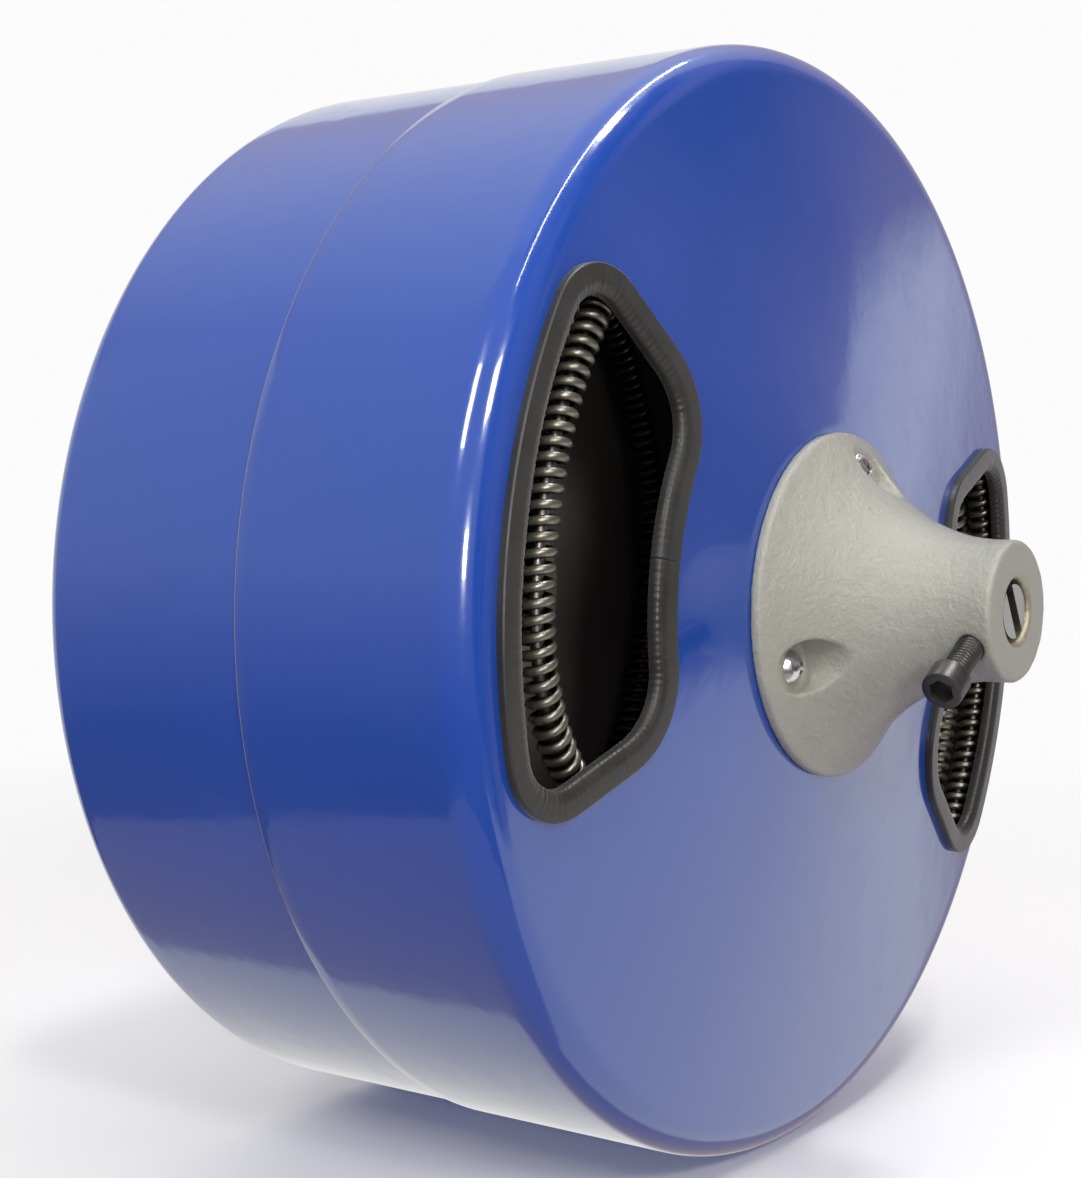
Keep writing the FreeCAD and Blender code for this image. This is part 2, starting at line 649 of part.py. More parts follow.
def rear_hub():
    """Cast bearing housing: flange bolted to the rear wall, barrel reaching into the drum."""
    flange_back = "rear_face + rear_flange_thick"
    groove_near = "land_half + bearing_width"
    groove_far = f"{groove_near} + ring_thick + slip_gap"
    housing = turned("rear_hub_blank", [
        ("bearing_radius", "barrel_front"), ("barrel_radius", "barrel_front"),
        ("barrel_radius", "rear_face"), ("rear_flange", "rear_face"),
        ("rear_flange", flange_back), ("barrel_radius + rear_boss_flare", flange_back),
        ("barrel_radius", "barrel_back"), ("bearing_radius", "barrel_back"),
        ("bearing_radius", groove_far), ("ring_groove", groove_far),
        ("ring_groove", groove_near), ("bearing_radius", groove_near),
        ("bearing_radius", "land_half"), ("land_radius", "land_half"),
        ("land_radius", "-land_half"), ("bearing_radius", "-land_half"),
        ("bearing_radius", f"-({groove_near})"), ("ring_groove", f"-({groove_near})"),
        ("ring_groove", f"-({groove_far})"), ("bearing_radius", f"-({groove_far})")])
    rounded(housing, "rear_flange_round", [("rear_flange", flange_back)])
    holes = around("rear_hub_holes", REAR_BOLTS,
                   hole_maker("rear_bolt_radius + hole_slack", "rear_face", "4 * rear_flange_thick"),
                   "rear_bolt_circle", "rear_bolt_start")
    return cut("rear_hub", housing, holes)


def rear_fasteners():
    place = ("rear_bolt_circle", "rear_bolt_start")
    head_seat = "rear_face + rear_flange_thick"
    inside_wall = "rear_face - sheet_gauge"
    hole = "rear_bolt_radius + thread_slack"

    def bolt(name):
        return fused(name, cylinder(name + "_shank", "rear_bolt_radius", "rear_bolt_length",
                                    y=f"{head_seat} - rear_bolt_length"),
                     hexagon(name + "_head", "rear_bolt_head", "rear_bolt_head_height", y=head_seat))

    return [
        around("rear_hub_bolts", REAR_BOLTS, bolt, *place),
        around("rear_hub_washers", REAR_BOLTS,
               washer_at(f"{inside_wall} - washer_thick", hole, "rear_washer_radius"), *place),
        around("rear_hub_nuts", REAR_BOLTS,
               nut_at(f"{inside_wall} - washer_thick - nut_height", hole, "rear_bolt_head",
                      "nut_height"), *place)]


def both_bearings(label, make):
    """One group of two equal pieces, one for each bearing; make takes a name and the centre y."""
    centre = "land_half + bearing_width / 2"
    return group(label, [make(label + "_front", f"-({centre})"), make(label + "_rear", centre)])


def race_groove(name, y):
    groove = doc.addObject("Part::Torus", name + "_groove")
    bind(groove, Radius1="ball_circle", Radius2="race_radius")
    return move(groove, y=y, turn=ALONG_Y)


def tube(name, outer, inner, width, y):
    """A short tube whose middle is at y."""
    start = f"{y} - ({width}) / 2"
    return cut(name, cylinder(name + "_outside", outer, width, y=start),
               cylinder(name + "_inside", inner, f"{width} + 2 * overcut", y=f"{start} - overcut"))


def inner_ring(name, y):
    blank = tube(name + "_blank", "inner_shoulder", "spindle_radius", "bearing_width", y)
    return cut(name, blank, race_groove(name, y))


def outer_ring(name, y):
    blank = tube(name + "_blank", "bearing_radius - press_gap", "outer_shoulder", "bearing_width", y)
    recess = "seal_thick + slip_gap"
    seats = [cylinder(f"{name}_seat_{number}", "seal_radius", f"{recess} + overcut", y=place)
             for number, place in ((1, f"{y} - bearing_width / 2 - overcut"),
                                   (2, f"{y} + bearing_width / 2 - ({recess})"))]
    return cut(name, blank, race_groove(name, y), *seats)


def ball_place(index):
    return f"{360 / BALLS} * {index}"


def ball_ring(name, y, radius):
    balls = []
    for index in range(BALLS):
        ball = doc.addObject("Part::Sphere", f"{name}_{index + 1}")
        bind(ball, Radius=radius)
        move(ball, f"ball_circle * sin({ball_place(index)})", y,
             f"ball_circle * cos({ball_place(index)})")
        balls.append(ball)
    return group(name, balls)


def cage(name, y):
    blank = tube(name + "_blank", "cage_outer", "cage_inner", "2 * cage_half_width", y)
    return cut(name, blank, ball_ring(name + "_pockets", y, "ball_radius + pocket_slack"))


def seal_pair(name, y):
    offset = "(bearing_width - seal_thick) / 2 - thread_slack"
    inner = "inner_shoulder + seal_lip_gap"
    return group(name, [tube(f"{name}_{number}", "seal_radius", inner, "seal_thick",
                             f"{y} {side} ({offset})") for number, side in ((1, "-"), (2, "+"))])


def retaining_ring(name, y):
    """Open spring ring in the housing groove, just outside its bearing."""
    side = "-1" if value(y) < 0 else "1"
    middle = f"{y} + {side} * (bearing_width / 2 + ring_thick / 2 + thread_slack)"
    ring = tube(name + "_full", "ring_groove - thread_slack", "ring_inner", "ring_thick", middle)
    opening = box(name + "_opening", "ring_opening", "4 * ring_thick", "2 * ring_groove",
                  "-ring_opening / 2", f"{middle} - 2 * ring_thick", "0")
    return cut(name, ring, opening)


def bearing_set():
    spacer = tube("bearing_spacer", "spacer_radius", "spindle_radius", "2 * land_half", "0")
    return [both_bearings("bearing_inner_rings", inner_ring),
            both_bearings("bearing_outer_rings", outer_ring),
            both_bearings("bearing_balls", lambda name, y: ball_ring(name, y, "ball_radius")),
            both_bearings("bearing_cages", cage),
            both_bearings("bearing_seals", seal_pair),
            both_bearings("bearing_retaining_rings", retaining_ring),
            spacer]


# ---------------------------------------------------------------- assembly and export

def build():
    pieces = [front_shell(), rear_shell(), front_hub(), clamp_screw(),
              window_trim("window_trim_left", "window_left"),
              window_trim("window_trim_right", "window_right")]
    pieces += hub_fasteners()
    pieces += cable_run()
    pieces += cable_lead()
    pieces += cable_connector()
    pieces += cable_anchor()
    pieces += [rear_hub()]
    pieces += rear_fasteners()
    pieces += bearing_set()
    return pieces


def check(pieces):
    for item in doc.Objects:
        if "Invalid" in item.State or "Error" in item.State:
            raise ValueError(f"{item.Name} did not compute: {item.State}")
    for piece in pieces:
        if piece.Shape.isNull() or not piece.Shape.isValid() or not piece.Shape.Solids:
            raise ValueError(f"{piece.Label} has no valid solid")


nodes = build()
doc.recompute()
check(nodes)
os.makedirs("parts", exist_ok=True)
for node in nodes:
    node.Shape.exportStep(f"parts/{node.Label}.step")
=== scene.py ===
"""Looks of the drain auger drum: enamelled shells, cast hub, rubber edging and wound cable.

Lengths are metres in the CAD frame: +Z up, the drum turns about Y, the nose points to -Y.
Angles round the drum are measured from +Z towards +X.
"""
import math

import bmesh
import bpy
from mathutils import Matrix, Vector, noise


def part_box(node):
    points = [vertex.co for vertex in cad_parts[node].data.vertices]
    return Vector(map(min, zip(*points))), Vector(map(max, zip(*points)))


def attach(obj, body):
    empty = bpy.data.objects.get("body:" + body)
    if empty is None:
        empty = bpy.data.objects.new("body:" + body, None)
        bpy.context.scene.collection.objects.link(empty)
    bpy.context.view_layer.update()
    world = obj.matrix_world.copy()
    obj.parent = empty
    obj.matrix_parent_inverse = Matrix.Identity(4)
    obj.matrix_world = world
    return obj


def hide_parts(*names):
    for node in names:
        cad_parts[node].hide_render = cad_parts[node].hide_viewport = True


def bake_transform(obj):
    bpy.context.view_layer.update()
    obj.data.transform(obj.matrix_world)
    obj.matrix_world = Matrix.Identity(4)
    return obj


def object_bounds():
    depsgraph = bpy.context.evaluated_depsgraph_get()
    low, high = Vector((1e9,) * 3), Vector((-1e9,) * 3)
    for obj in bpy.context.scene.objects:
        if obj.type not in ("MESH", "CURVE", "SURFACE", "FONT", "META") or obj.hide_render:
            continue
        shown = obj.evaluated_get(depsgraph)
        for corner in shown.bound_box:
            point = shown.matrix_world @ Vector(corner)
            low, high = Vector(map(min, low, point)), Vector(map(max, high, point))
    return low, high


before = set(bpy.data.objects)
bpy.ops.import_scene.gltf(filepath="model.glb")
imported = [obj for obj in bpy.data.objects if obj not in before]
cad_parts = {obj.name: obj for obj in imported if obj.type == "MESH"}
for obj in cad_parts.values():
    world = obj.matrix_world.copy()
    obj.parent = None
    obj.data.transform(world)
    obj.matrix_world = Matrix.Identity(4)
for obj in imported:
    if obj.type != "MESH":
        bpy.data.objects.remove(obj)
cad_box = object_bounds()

MM = 0.001

# ---------------- places read from the frame

FRONT_LOW, FRONT_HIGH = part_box("front_shell")
HUB_LOW, HUB_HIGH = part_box("front_hub")
SEAT = FRONT_LOW.y
SEAM = FRONT_HIGH.y
REAR_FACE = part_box("rear_shell")[1].y
NOSE_END = HUB_LOW.y
DRUM_RADIUS = (FRONT_HIGH.z - FRONT_LOW.z) / 2
HUB_RADIUS = (HUB_HIGH.x - HUB_LOW.x) / 2

# driving dimensions of the looks, the same ones that the CAD model is built from
GAUGE = 1.5 * MM
CONE_SLOPE = 15.0 * MM / (203.2 * MM - 63.0 * MM)
FRONT_CORNER = 13.0 * MM
REAR_CORNER = 8.0 * MM
CABLE_HOLE = 30.0 * MM
BARREL_HOLE = 36.1 * MM
PAN_OVERLAP = 12.0 * MM

WINDOW_INNER = 106.0 * MM
WINDOW_OUTER = 189.6 * MM
WINDOW_HALF = math.radians(30.8)
WINDOW_CORNER_INNER = 32.0 * MM
WINDOW_CORNER_OUTER = 24.0 * MM
WINDOWS = {"left": math.radians(-79.9), "right": math.radians(100.1)}
TRIM_LAP = 8.2 * MM
TRIM_WEB = 2.0 * MM
TRIM_PROUD = 3.0 * MM
TRIM_INSIDE = 1.2 * MM

HUB_SCREW_CIRCLE = 49.7 * MM
HUB_SCREW_HOLE = 3.37 * MM
HUB_SCREW_SHANK = 3.17 * MM
HUB_SCREW_ANGLES = [math.radians(7.0 + 120.0 * index) for index in range(3)]

CABLE_RADIUS = 6.35 * MM
WIRE_RADIUS = 1.72 * MM
WIRE_PITCH = 5.0 * MM
CORE_RADIUS = 2.5 * MM
CORE_LAY = 22.0 * MM
CORE_STRANDS = 6
COIL_INNER = 162.5 * MM
COIL_SPACING = 12.9 * MM
COIL_SHIFT = 2.5 * MM
COIL_TURNS = 7
COIL_PITCH = 14.0 * MM
COIL_FRONT = SEAT + 20.7 * MM
FRONT_STEP = 1.4 * MM
ANCHOR_ANGLE = 150.0
ANCHOR_CIRCLE = 168.0 * MM
HELD_TURN = 24.0
TAIL_TURN = 401.0
CROSS_TURN = 90.0
LEAD_BACK = SEAT + 30.6 * MM
BEND_TURN_Y = SEAT + 72.6 * MM
# below the split the bend rides with the drum; from there up to the axis it is a separate piece
BEND_SPLIT_Z = -80.0 * MM

CLAMP_ANGLE = math.radians(-119.0)
CLAMP_THREAD_RADIUS = 4.75 * MM
CLAMP_THREAD_DEPTH = 0.95 * MM
CLAMP_PITCH = 25.4 / 16 * MM
CLAMP_TIP = 10.6 * MM
CLAMP_HEAD_START = 41.5 * MM
CLAMP_HEAD_TOP = 51.0 * MM
CLAMP_SOCKET_RADIUS = 4.6 * MM
CLAMP_SOCKET_DEPTH = 5.0 * MM


def polar(radius, y, angle):
    """The point at a radius and an angle round the drum."""
    return Vector((radius * math.sin(angle), y, radius * math.cos(angle)))


def cone_y(radius):
    """Depth of the front face's outer side at a radius."""
    return SEAT + CONE_SLOPE * max(0.0, radius - HUB_RADIUS)


# ---------------- shader helpers

def new_material(name):
    material = bpy.data.materials.new(name)
    material.use_nodes = True
    tree = material.node_tree
    return material, tree, tree.nodes["Principled BSDF"]


def add_node(tree, kind, **inputs):
    """A shader node; names that aren't sockets are set as the node's own settings."""
    node = tree.nodes.new(kind)
    for name, value in inputs.items():
        socket = name.replace("_", " ")
        if socket in node.inputs:
            node.inputs[socket].default_value = value
        else:
            setattr(node, name, value)
    return node


def place_coordinates(tree):
    """Object coordinates: metres in the CAD frame."""
    return add_node(tree, "ShaderNodeTexCoord").outputs["Object"]


def noise_factor(tree, vector, scale, detail=4.0, roughness=0.55):
    node = add_node(tree, "ShaderNodeTexNoise", Scale=scale, Detail=detail, Roughness=roughness)
    tree.links.new(vector, node.inputs["Vector"])
    return node.outputs["Fac"]


def remap(tree, factor, low, high, out_low, out_high):
    node = add_node(tree, "ShaderNodeMapRange")
    for socket, value in (("From Min", low), ("From Max", high), ("To Min", out_low), ("To Max", out_high)):
        node.inputs[socket].default_value = value
    tree.links.new(factor, node.inputs["Value"])
    return node.outputs["Result"]


def mix_colours(tree, factor, first, second):
    node = add_node(tree, "ShaderNodeMix", data_type="RGBA")
    if isinstance(factor, (int, float)):
        node.inputs["Factor"].default_value = factor
    else:
        tree.links.new(factor, node.inputs["Factor"])
    for socket, colour in ((node.inputs[6], first), (node.inputs[7], second)):
        if isinstance(colour, tuple):
            socket.default_value = colour
        else:
            tree.links.new(colour, socket)
    return node.outputs[2]


def add_bump(tree, shader, height, strength, distance, previous=None, socket="Normal"):
    node = add_node(tree, "ShaderNodeBump", Strength=strength, Distance=distance)
    tree.links.new(height, node.inputs["Height"])
    if previous is not None:
        tree.links.new(previous, node.inputs["Normal"])
    tree.links.new(node.outputs["Normal"], shader.inputs[socket])
    return node.outputs["Normal"]


def math_node(tree, operation, first, second=None):
    node = add_node(tree, "ShaderNodeMath", operation=operation)
    for socket, value in zip(node.inputs, (first, second)):
        if value is None:
            continue
        if isinstance(value, (int, float)):
            socket.default_value = value
        else:
            tree.links.new(value, socket)
    return node.outputs[0]


def mix_values(tree, factor, first, second):
    node = add_node(tree, "ShaderNodeMix")
    for socket, value in zip((node.inputs[0], node.inputs[2], node.inputs[3]), (factor, first, second)):
        if isinstance(value, (int, float)):
            socket.default_value = value
        else:
            tree.links.new(value, socket)
    return node.outputs[0]


# ---------------- materials

def enamel_material():
    """Glossy blue enamel with faint orange peel, dust scuffs and mottled depth of colour."""
    material, tree, shader = new_material("blue_enamel")
    place = place_coordinates(tree)
    mottle = noise_factor(tree, place, 9.0, 3.0)
    colour = mix_colours(tree, mottle, (0.008, 0.053, 0.315, 1), (0.011, 0.066, 0.360, 1))
    tree.links.new(colour, shader.inputs["Base Color"])
    scuffs = noise_factor(tree, place, 55.0, 8.0, 0.7)
    tree.links.new(remap(tree, scuffs, 0.52, 0.75, 0.16, 0.30), shader.inputs["Roughness"])
    shader.inputs["Coat Weight"].default_value = 1.0
    shader.inputs["Coat Roughness"].default_value = 0.035
    shader.inputs["Coat IOR"].default_value = 1.52
    shader.inputs["Specular IOR Level"].default_value = 0.5
    peel = noise_factor(tree, place, 110.0, 2.0, 0.4)
    wave = noise_factor(tree, place, 22.0, 4.0, 0.5)
    ripple = add_bump(tree, shader, wave, 0.16, 1.6 * MM)
    add_bump(tree, shader, peel, 0.10, 0.18 * MM, ripple)
    add_bump(tree, shader, peel, 0.08, 0.18 * MM, ripple, "Coat Normal")
    return material


def inner_paint_material():
    """Dull black inside of the drum with greasy streaks."""
    material, tree, shader = new_material("inner_black")
    place = place_coordinates(tree)
    grime = noise_factor(tree, place, 22.0, 6.0)
    colour = mix_colours(tree, grime, (0.180, 0.180, 0.160, 1), (0.330, 0.325, 0.290, 1))
    tree.links.new(colour, shader.inputs["Base Color"])
    tree.links.new(remap(tree, grime, 0.3, 0.7, 0.55, 0.8), shader.inputs["Roughness"])
    add_bump(tree, shader, noise_factor(tree, place, 260.0, 5.0), 0.3, 0.3 * MM)
    return material


def cast_paint_material():
    """Light warm grey paint on a sand casting; the outlet's machined edge is bare."""
    material, tree, shader = new_material("cast_grey_paint")
    place = place_coordinates(tree)
    cloud = noise_factor(tree, place, 38.0, 5.0)
    paint = mix_colours(tree, cloud, (0.270, 0.273, 0.222, 1), (0.345, 0.348, 0.292, 1))
    dirt = remap(tree, noise_factor(tree, place, 240.0, 6.0, 0.7), 0.66, 0.80, 0.0, 0.55)
    colour = mix_colours(tree, dirt, paint, (0.13, 0.12, 0.09, 1))
    parts = add_node(tree, "ShaderNodeSeparateXYZ")
    tree.links.new(place, parts.inputs[0])
    across = math_node(tree, "POWER", parts.outputs[0], 2.0)
    up = math_node(tree, "POWER", parts.outputs[2], 2.0)
    radius = math_node(tree, "SQRT", math_node(tree, "ADD", across, up))
    bare = remap(tree, radius, 12.3 * MM, 12.9 * MM, 1.0, 0.0)
    in_nose = remap(tree, parts.outputs[1], NOSE_END + 60 * MM, NOSE_END + 62 * MM, 1.0, 0.0)
    bare = math_node(tree, "MULTIPLY", bare, in_nose)
    tree.links.new(mix_colours(tree, bare, colour, (0.40, 0.37, 0.26, 1)), shader.inputs["Base Color"])
    tree.links.new(math_node(tree, "MULTIPLY", bare, 0.85), shader.inputs["Metallic"])
    tree.links.new(remap(tree, cloud, 0.3, 0.7, 0.34, 0.48), shader.inputs["Roughness"])
    shader.inputs["Coat Weight"].default_value = 0.9
    shader.inputs["Coat Roughness"].default_value = 0.09
    lumps = add_bump(tree, shader, noise_factor(tree, place, 210.0, 3.0, 0.5), 0.6, 0.7 * MM)
    grit = noise_factor(tree, place, 480.0, 5.0, 0.7)
    add_bump(tree, shader, grit, 0.8, 0.6 * MM, lumps)
    add_bump(tree, shader, grit, 1.0, 1.1 * MM, lumps, "Coat Normal")
    return material


def rubber_material():
    """Dark grey moulded rubber with a powdery bloom."""
    material, tree, shader = new_material("edging_rubber")
    place = place_coordinates(tree)
    bloom = noise_factor(tree, place, 60.0, 6.0, 0.65)
    colour = mix_colours(tree, bloom, (0.011, 0.011, 0.0095, 1), (0.032, 0.032, 0.027, 1))
    tree.links.new(colour, shader.inputs["Base Color"])
    tree.links.new(remap(tree, bloom, 0.3, 0.7, 0.32, 0.52), shader.inputs["Roughness"])
    shader.inputs["Sheen Weight"].default_value = 0.25
    shader.inputs["Sheen Roughness"].default_value = 0.4
    add_bump(tree, shader, noise_factor(tree, place, 900.0, 3.0), 0.35, 0.12 * MM)
    return material


def wire_material():
    """Worn spring wire with rust specks: steel colour on its outer side, painted shade near black on the
    side that faces into the gaps.
    """
    material, tree, shader = new_material("cable_wire")
    place = place_coordinates(tree)
    wear = noise_factor(tree, place, 330.0, 6.0, 0.7)
    steel = mix_colours(tree, wear, (0.10, 0.092, 0.070, 1), (0.40, 0.380, 0.315, 1))
    rust = remap(tree, noise_factor(tree, place, 120.0, 7.0, 0.75), 0.60, 0.74, 0.0, 0.5)
    worn = mix_colours(tree, rust, steel, (0.12, 0.070, 0.035, 1))
    # painted shade: the side of each wire that faces into the cable and the flanks towards the next turn
    # are mixed to near black (0.016), standing in for the shade in the gaps between turns
    depth = tree.nodes.new("ShaderNodeAttribute")
    depth.attribute_name = "outward"
    unshaded_side = remap(tree, depth.outputs["Fac"], -0.1, 0.75, 0.0, 1.0)
    colour = mix_colours(tree, unshaded_side, (0.016, 0.014, 0.011, 1), worn)
    tree.links.new(colour, shader.inputs["Base Color"])
    shader.inputs["Metallic"].default_value = 0.9
    tree.links.new(remap(tree, wear, 0.3, 0.7, 0.46, 0.28), shader.inputs["Roughness"])
    add_bump(tree, shader, noise_factor(tree, place, 1100.0, 4.0, 0.7), 0.35, 0.15 * MM)
    return material


def metal_material(name, dark, light, rough, grain=500.0, metallic=1.0, bump=0.15):
    """Plain machined or plated metal: mottled colour, uneven polish and fine grain."""
    material, tree, shader = new_material(name)
    place = place_coordinates(tree)
    cloud = noise_factor(tree, place, grain * 0.3, 5.0, 0.6)
    tree.links.new(mix_colours(tree, cloud, dark, light), shader.inputs["Base Color"])
    shader.inputs["Metallic"].default_value = metallic
    low, high = rough
    tree.links.new(remap(tree, cloud, 0.3, 0.7, low, high), shader.inputs["Roughness"])
    add_bump(tree, shader, noise_factor(tree, place, grain, 4.0, 0.6), bump, 0.12 * MM)
    return material


def floor_material():
    """Pale matt floor that fades into the pale surroundings."""
    material, tree, shader = new_material("pale_floor")
    shader.inputs["Base Color"].default_value = (0.80, 0.80, 0.80, 1)
    shader.inputs["Roughness"].default_value = 0.7
    place = place_coordinates(tree)
    speck = noise_factor(tree, place, 3.0, 3.0)
    tree.links.new(mix_colours(tree, speck, (0.88, 0.88, 0.87, 1), (0.91, 0.91, 0.90, 1)),
                   shader.inputs["Base Color"])
    length = add_node(tree, "ShaderNodeVectorMath", operation="LENGTH")
    tree.links.new(place, length.inputs[0])
    fade = remap(tree, length.outputs["Value"], 0.25, 1.1, 0.0, 1.0)
    clear = tree.nodes.new("ShaderNodeBsdfTransparent")
    mix = tree.nodes.new("ShaderNodeMixShader")
    tree.links.new(fade, mix.inputs[0])
    tree.links.new(shader.outputs[0], mix.inputs[1])
    tree.links.new(clear.outputs[0], mix.inputs[2])
    tree.links.new(mix.outputs[0], tree.nodes["Material Output"].inputs["Surface"])
    return material


ENAMEL = enamel_material()
INNER_BLACK = inner_paint_material()
CAST_PAINT = cast_paint_material()
RUBBER = rubber_material()
WIRE = wire_material()
CORE = metal_material("cable_core_rope", (0.08, 0.072, 0.06, 1), (0.34, 0.32, 0.28, 1), (0.3, 0.5), 900.0)
ZINC = metal_material("zinc_plate", (0.55, 0.55, 0.53, 1), (0.80, 0.80, 0.78, 1), (0.12, 0.28), 420.0)
BLACK_STEEL = metal_material("black_oxide", (0.045, 0.044, 0.040, 1), (0.13, 0.128, 0.118, 1),
                             (0.30, 0.44), 600.0, 0.75, 0.25)
FITTING_STEEL = metal_material("fitting_steel", (0.30, 0.295, 0.28, 1), (0.52, 0.515, 0.50, 1),
                               (0.28, 0.42), 380.0)
GROUND_STEEL = metal_material("ground_steel", (0.58, 0.59, 0.60, 1), (0.76, 0.77, 0.78, 1),
                              (0.12, 0.22), 700.0)
PRESSED_STEEL = metal_material("pressed_steel", (0.40, 0.40, 0.38, 1), (0.58, 0.58, 0.56, 1), (0.25, 0.4))


# ---------------- mesh helpers

def mesh_object(name, vertices, faces, materials, smooth_angle=35.0):
    """A mesh object with faces that shade smoothly up to an angle."""
    mesh = bpy.data.meshes.new(name)
    mesh.from_pydata([tuple(v) for v in vertices], [], faces)
    mesh.validate()
    shade(mesh, smooth_angle)
    for material in materials:
        mesh.materials.append(material)
    item = bpy.data.objects.new(name, mesh)
    bpy.context.scene.collection.objects.link(item)
    return item


def tube_faces(count, sides):
    """Faces of a tube of count stretches with closed ends, from rings of vertices."""
    faces = []
    for index in range(count):
        for number in range(sides):
            after = (number + 1) % sides
            faces.append((index * sides + number, index * sides + after,
                          (index + 1) * sides + after, (index + 1) * sides + number))
    faces.append(tuple(range(sides - 1, -1, -1)))
    faces.append(tuple(range(count * sides, (count + 1) * sides)))
    return faces


def shade(mesh, smooth_angle):
    mesh.polygons.foreach_set("use_smooth", [True] * len(mesh.polygons))
    mesh.set_sharp_from_angle(angle=math.radians(smooth_angle))
    mesh.update()


def fix_normals(item):
    work = bmesh.new()
    work.from_mesh(item.data)
    bmesh.ops.recalc_face_normals(work, faces=work.faces)
    work.to_mesh(item.data)
    work.free()


def applied(item, smooth_angle=35.0):
    """Turn an object's modifiers into mesh."""
    bpy.context.view_layer.update()
    finished = item.evaluated_get(bpy.context.evaluated_depsgraph_get())
    mesh = bpy.data.meshes.new_from_object(finished)
    item.modifiers.clear()
    item.data = mesh
    shade(mesh, smooth_angle)
    return item


def arc(centre, radius, start, end, steps):
    """Points of an arc in a (radius, y) profile, angles from the +radius axis."""
    points = []
    for index in range(steps + 1):
        angle = start + (end - start) * index / steps
        points.append((centre[0] + radius * math.cos(angle), centre[1] + radius * math.sin(angle)))
    return points


def between(start, end, share):
    """The point at a share of the way from start to end."""
    return (start[0] + (end[0] - start[0]) * share, start[1] + (end[1] - start[1]) * share)


def line(start, end, steps):
    """Points of a straight stretch, without its last point."""
    return [between(start, end, i / steps) for i in range(steps)]


def lathed(name, profile, materials, segments=360, smooth_angle=35.0):
    """Turn a closed (radius, y) profile about the Y axis."""
    count = len(profile)
    vertices = []
    for segment in range(segments):
        angle = math.tau * segment / segments
        vertices += [polar(radius, y, angle) for radius, y in profile]
    faces = []
    for segment in range(segments):
        here = segment * count
        there = (segment + 1) % segments * count
        for index in range(count):
            after = (index + 1) % count
            faces.append((here + index, here + after, there + after, there + index))
    item = mesh_object(name, vertices, faces, materials, smooth_angle)
    fix_normals(item)
    shade(item.data, smooth_angle)
    return item


def prism(name, outline, low, high):
    """A closed prism along Y from an (x, z) outline."""
    count = len(outline)
    vertices = [(x, low, z) for x, z in outline] + [(x, high, z) for x, z in outline]
    faces = [tuple(range(count)), tuple(range(2 * count - 1, count - 1, -1))]
    faces += [(i, (i + 1) % count, count + (i + 1) % count, count + i) for i in range(count)]
    item = mesh_object(name, vertices, faces, [])
    fix_normals(item)
    return item


def subtract(item, cutters):
    for cutter in cutters:
        boolean = item.modifiers.new("cut", "BOOLEAN")
        boolean.operation = "DIFFERENCE"
        boolean.solver = "EXACT"
        boolean.object = cutter
    applied(item)
    for cutter in cutters:
        bpy.data.objects.remove(cutter)
    return item


def finished(item, body, slot, *stands_for):
    """Ride on a body and hide the CAD nodes that the piece stands for."""
    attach(item, body)
    if stands_for:
        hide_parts(*stands_for)
    return item


# ---------------- window outline

def corner_centre(side_gap, reach):
    """Centre of a corner arc: side_gap from the window's straight side, reach from the axis."""
    along = math.sqrt(reach * reach - side_gap * side_gap)
    return (along * math.sin(WINDOW_HALF) - side_gap * math.cos(WINDOW_HALF),
            along * math.cos(WINDOW_HALF) + side_gap * math.sin(WINDOW_HALF))


def circle_points(centre, radius, start, end, step):
    """Arc points with the angle measured from +v towards +u, without the last one."""
    steps = max(2, int(abs(end - start) * radius / step))
    return [(centre[0] + radius * math.sin(start + (end - start) * i / steps),
             centre[1] + radius * math.cos(start + (end - start) * i / steps)) for i in range(steps)]


def window_outline(inset, step):
    """(u, v) outline of a window moved inwards by inset; v points away from the drum's axis.

    It starts in the middle of the arc nearest the axis and runs clockwise seen from the front.
    """
    outer = WINDOW_OUTER - inset
    inner = WINDOW_INNER + inset
    large = WINDOW_CORNER_OUTER - inset
    small = WINDOW_CORNER_INNER - inset
    top = corner_centre(inset + large, outer - large)
    low = corner_centre(inset + small, inner + small)
    top_angle = math.atan2(top[0], top[1])
    low_angle = math.atan2(low[0], low[1])
    side = WINDOW_HALF + math.pi / 2
    low_far = (low[0] + small * math.sin(side), low[1] + small * math.cos(side))
    top_far = (top[0] + large * math.sin(side), top[1] + large * math.cos(side))
    half = circle_points((0, 0), inner, 0, low_angle, step)
    half += circle_points(low, small, low_angle + math.pi, side, step)
    half += line(low_far, top_far, max(2, int(math.dist(low_far, top_far) / step)))
    half += circle_points(top, large, side, top_angle, step)
    half += circle_points((0, 0), outer, top_angle, 0, step)
    mirrored = [(-u, v) for u, v in reversed(half[1:])]
    return half + [(0.0, outer)] + mirrored


def on_drum(point, angle):
    """(x, z) of a window point (u, v) for the window at an angle."""
    u, v = point
    return (v * math.sin(angle) + u * math.cos(angle), v * math.cos(angle) - u * math.sin(angle))


def evenly_spaced(points, step):
    """Points at equal steps along a closed line."""
    closed = points + [points[0]]
    lengths = [0.0]
    for first, second in zip(closed, closed[1:]):
        lengths.append(lengths[-1] + math.dist(first, second))
    count = int(lengths[-1] / step)
    spaced = []
    index = 0
    for number in range(count):
        target = lengths[-1] * number / count
        while lengths[index + 1] < target:
            index += 1
        share = (target - lengths[index]) / max(lengths[index + 1] - lengths[index], 1e-9)
        spaced.append(between(closed[index], closed[index + 1], share))
    return spaced


# ---------------- drum shells

def hole_prism(name, radius, circle, angle, low, high):
    """A round cutter along Y at an angle on a circle round the axis."""
    centre = polar(circle, 0, angle)
    sides = 32
    outline = [(centre.x + radius * math.cos(math.tau * i / sides),
                centre.z + radius * math.sin(math.tau * i / sides)) for i in range(sides)]
    return prism(name, outline, low, high)


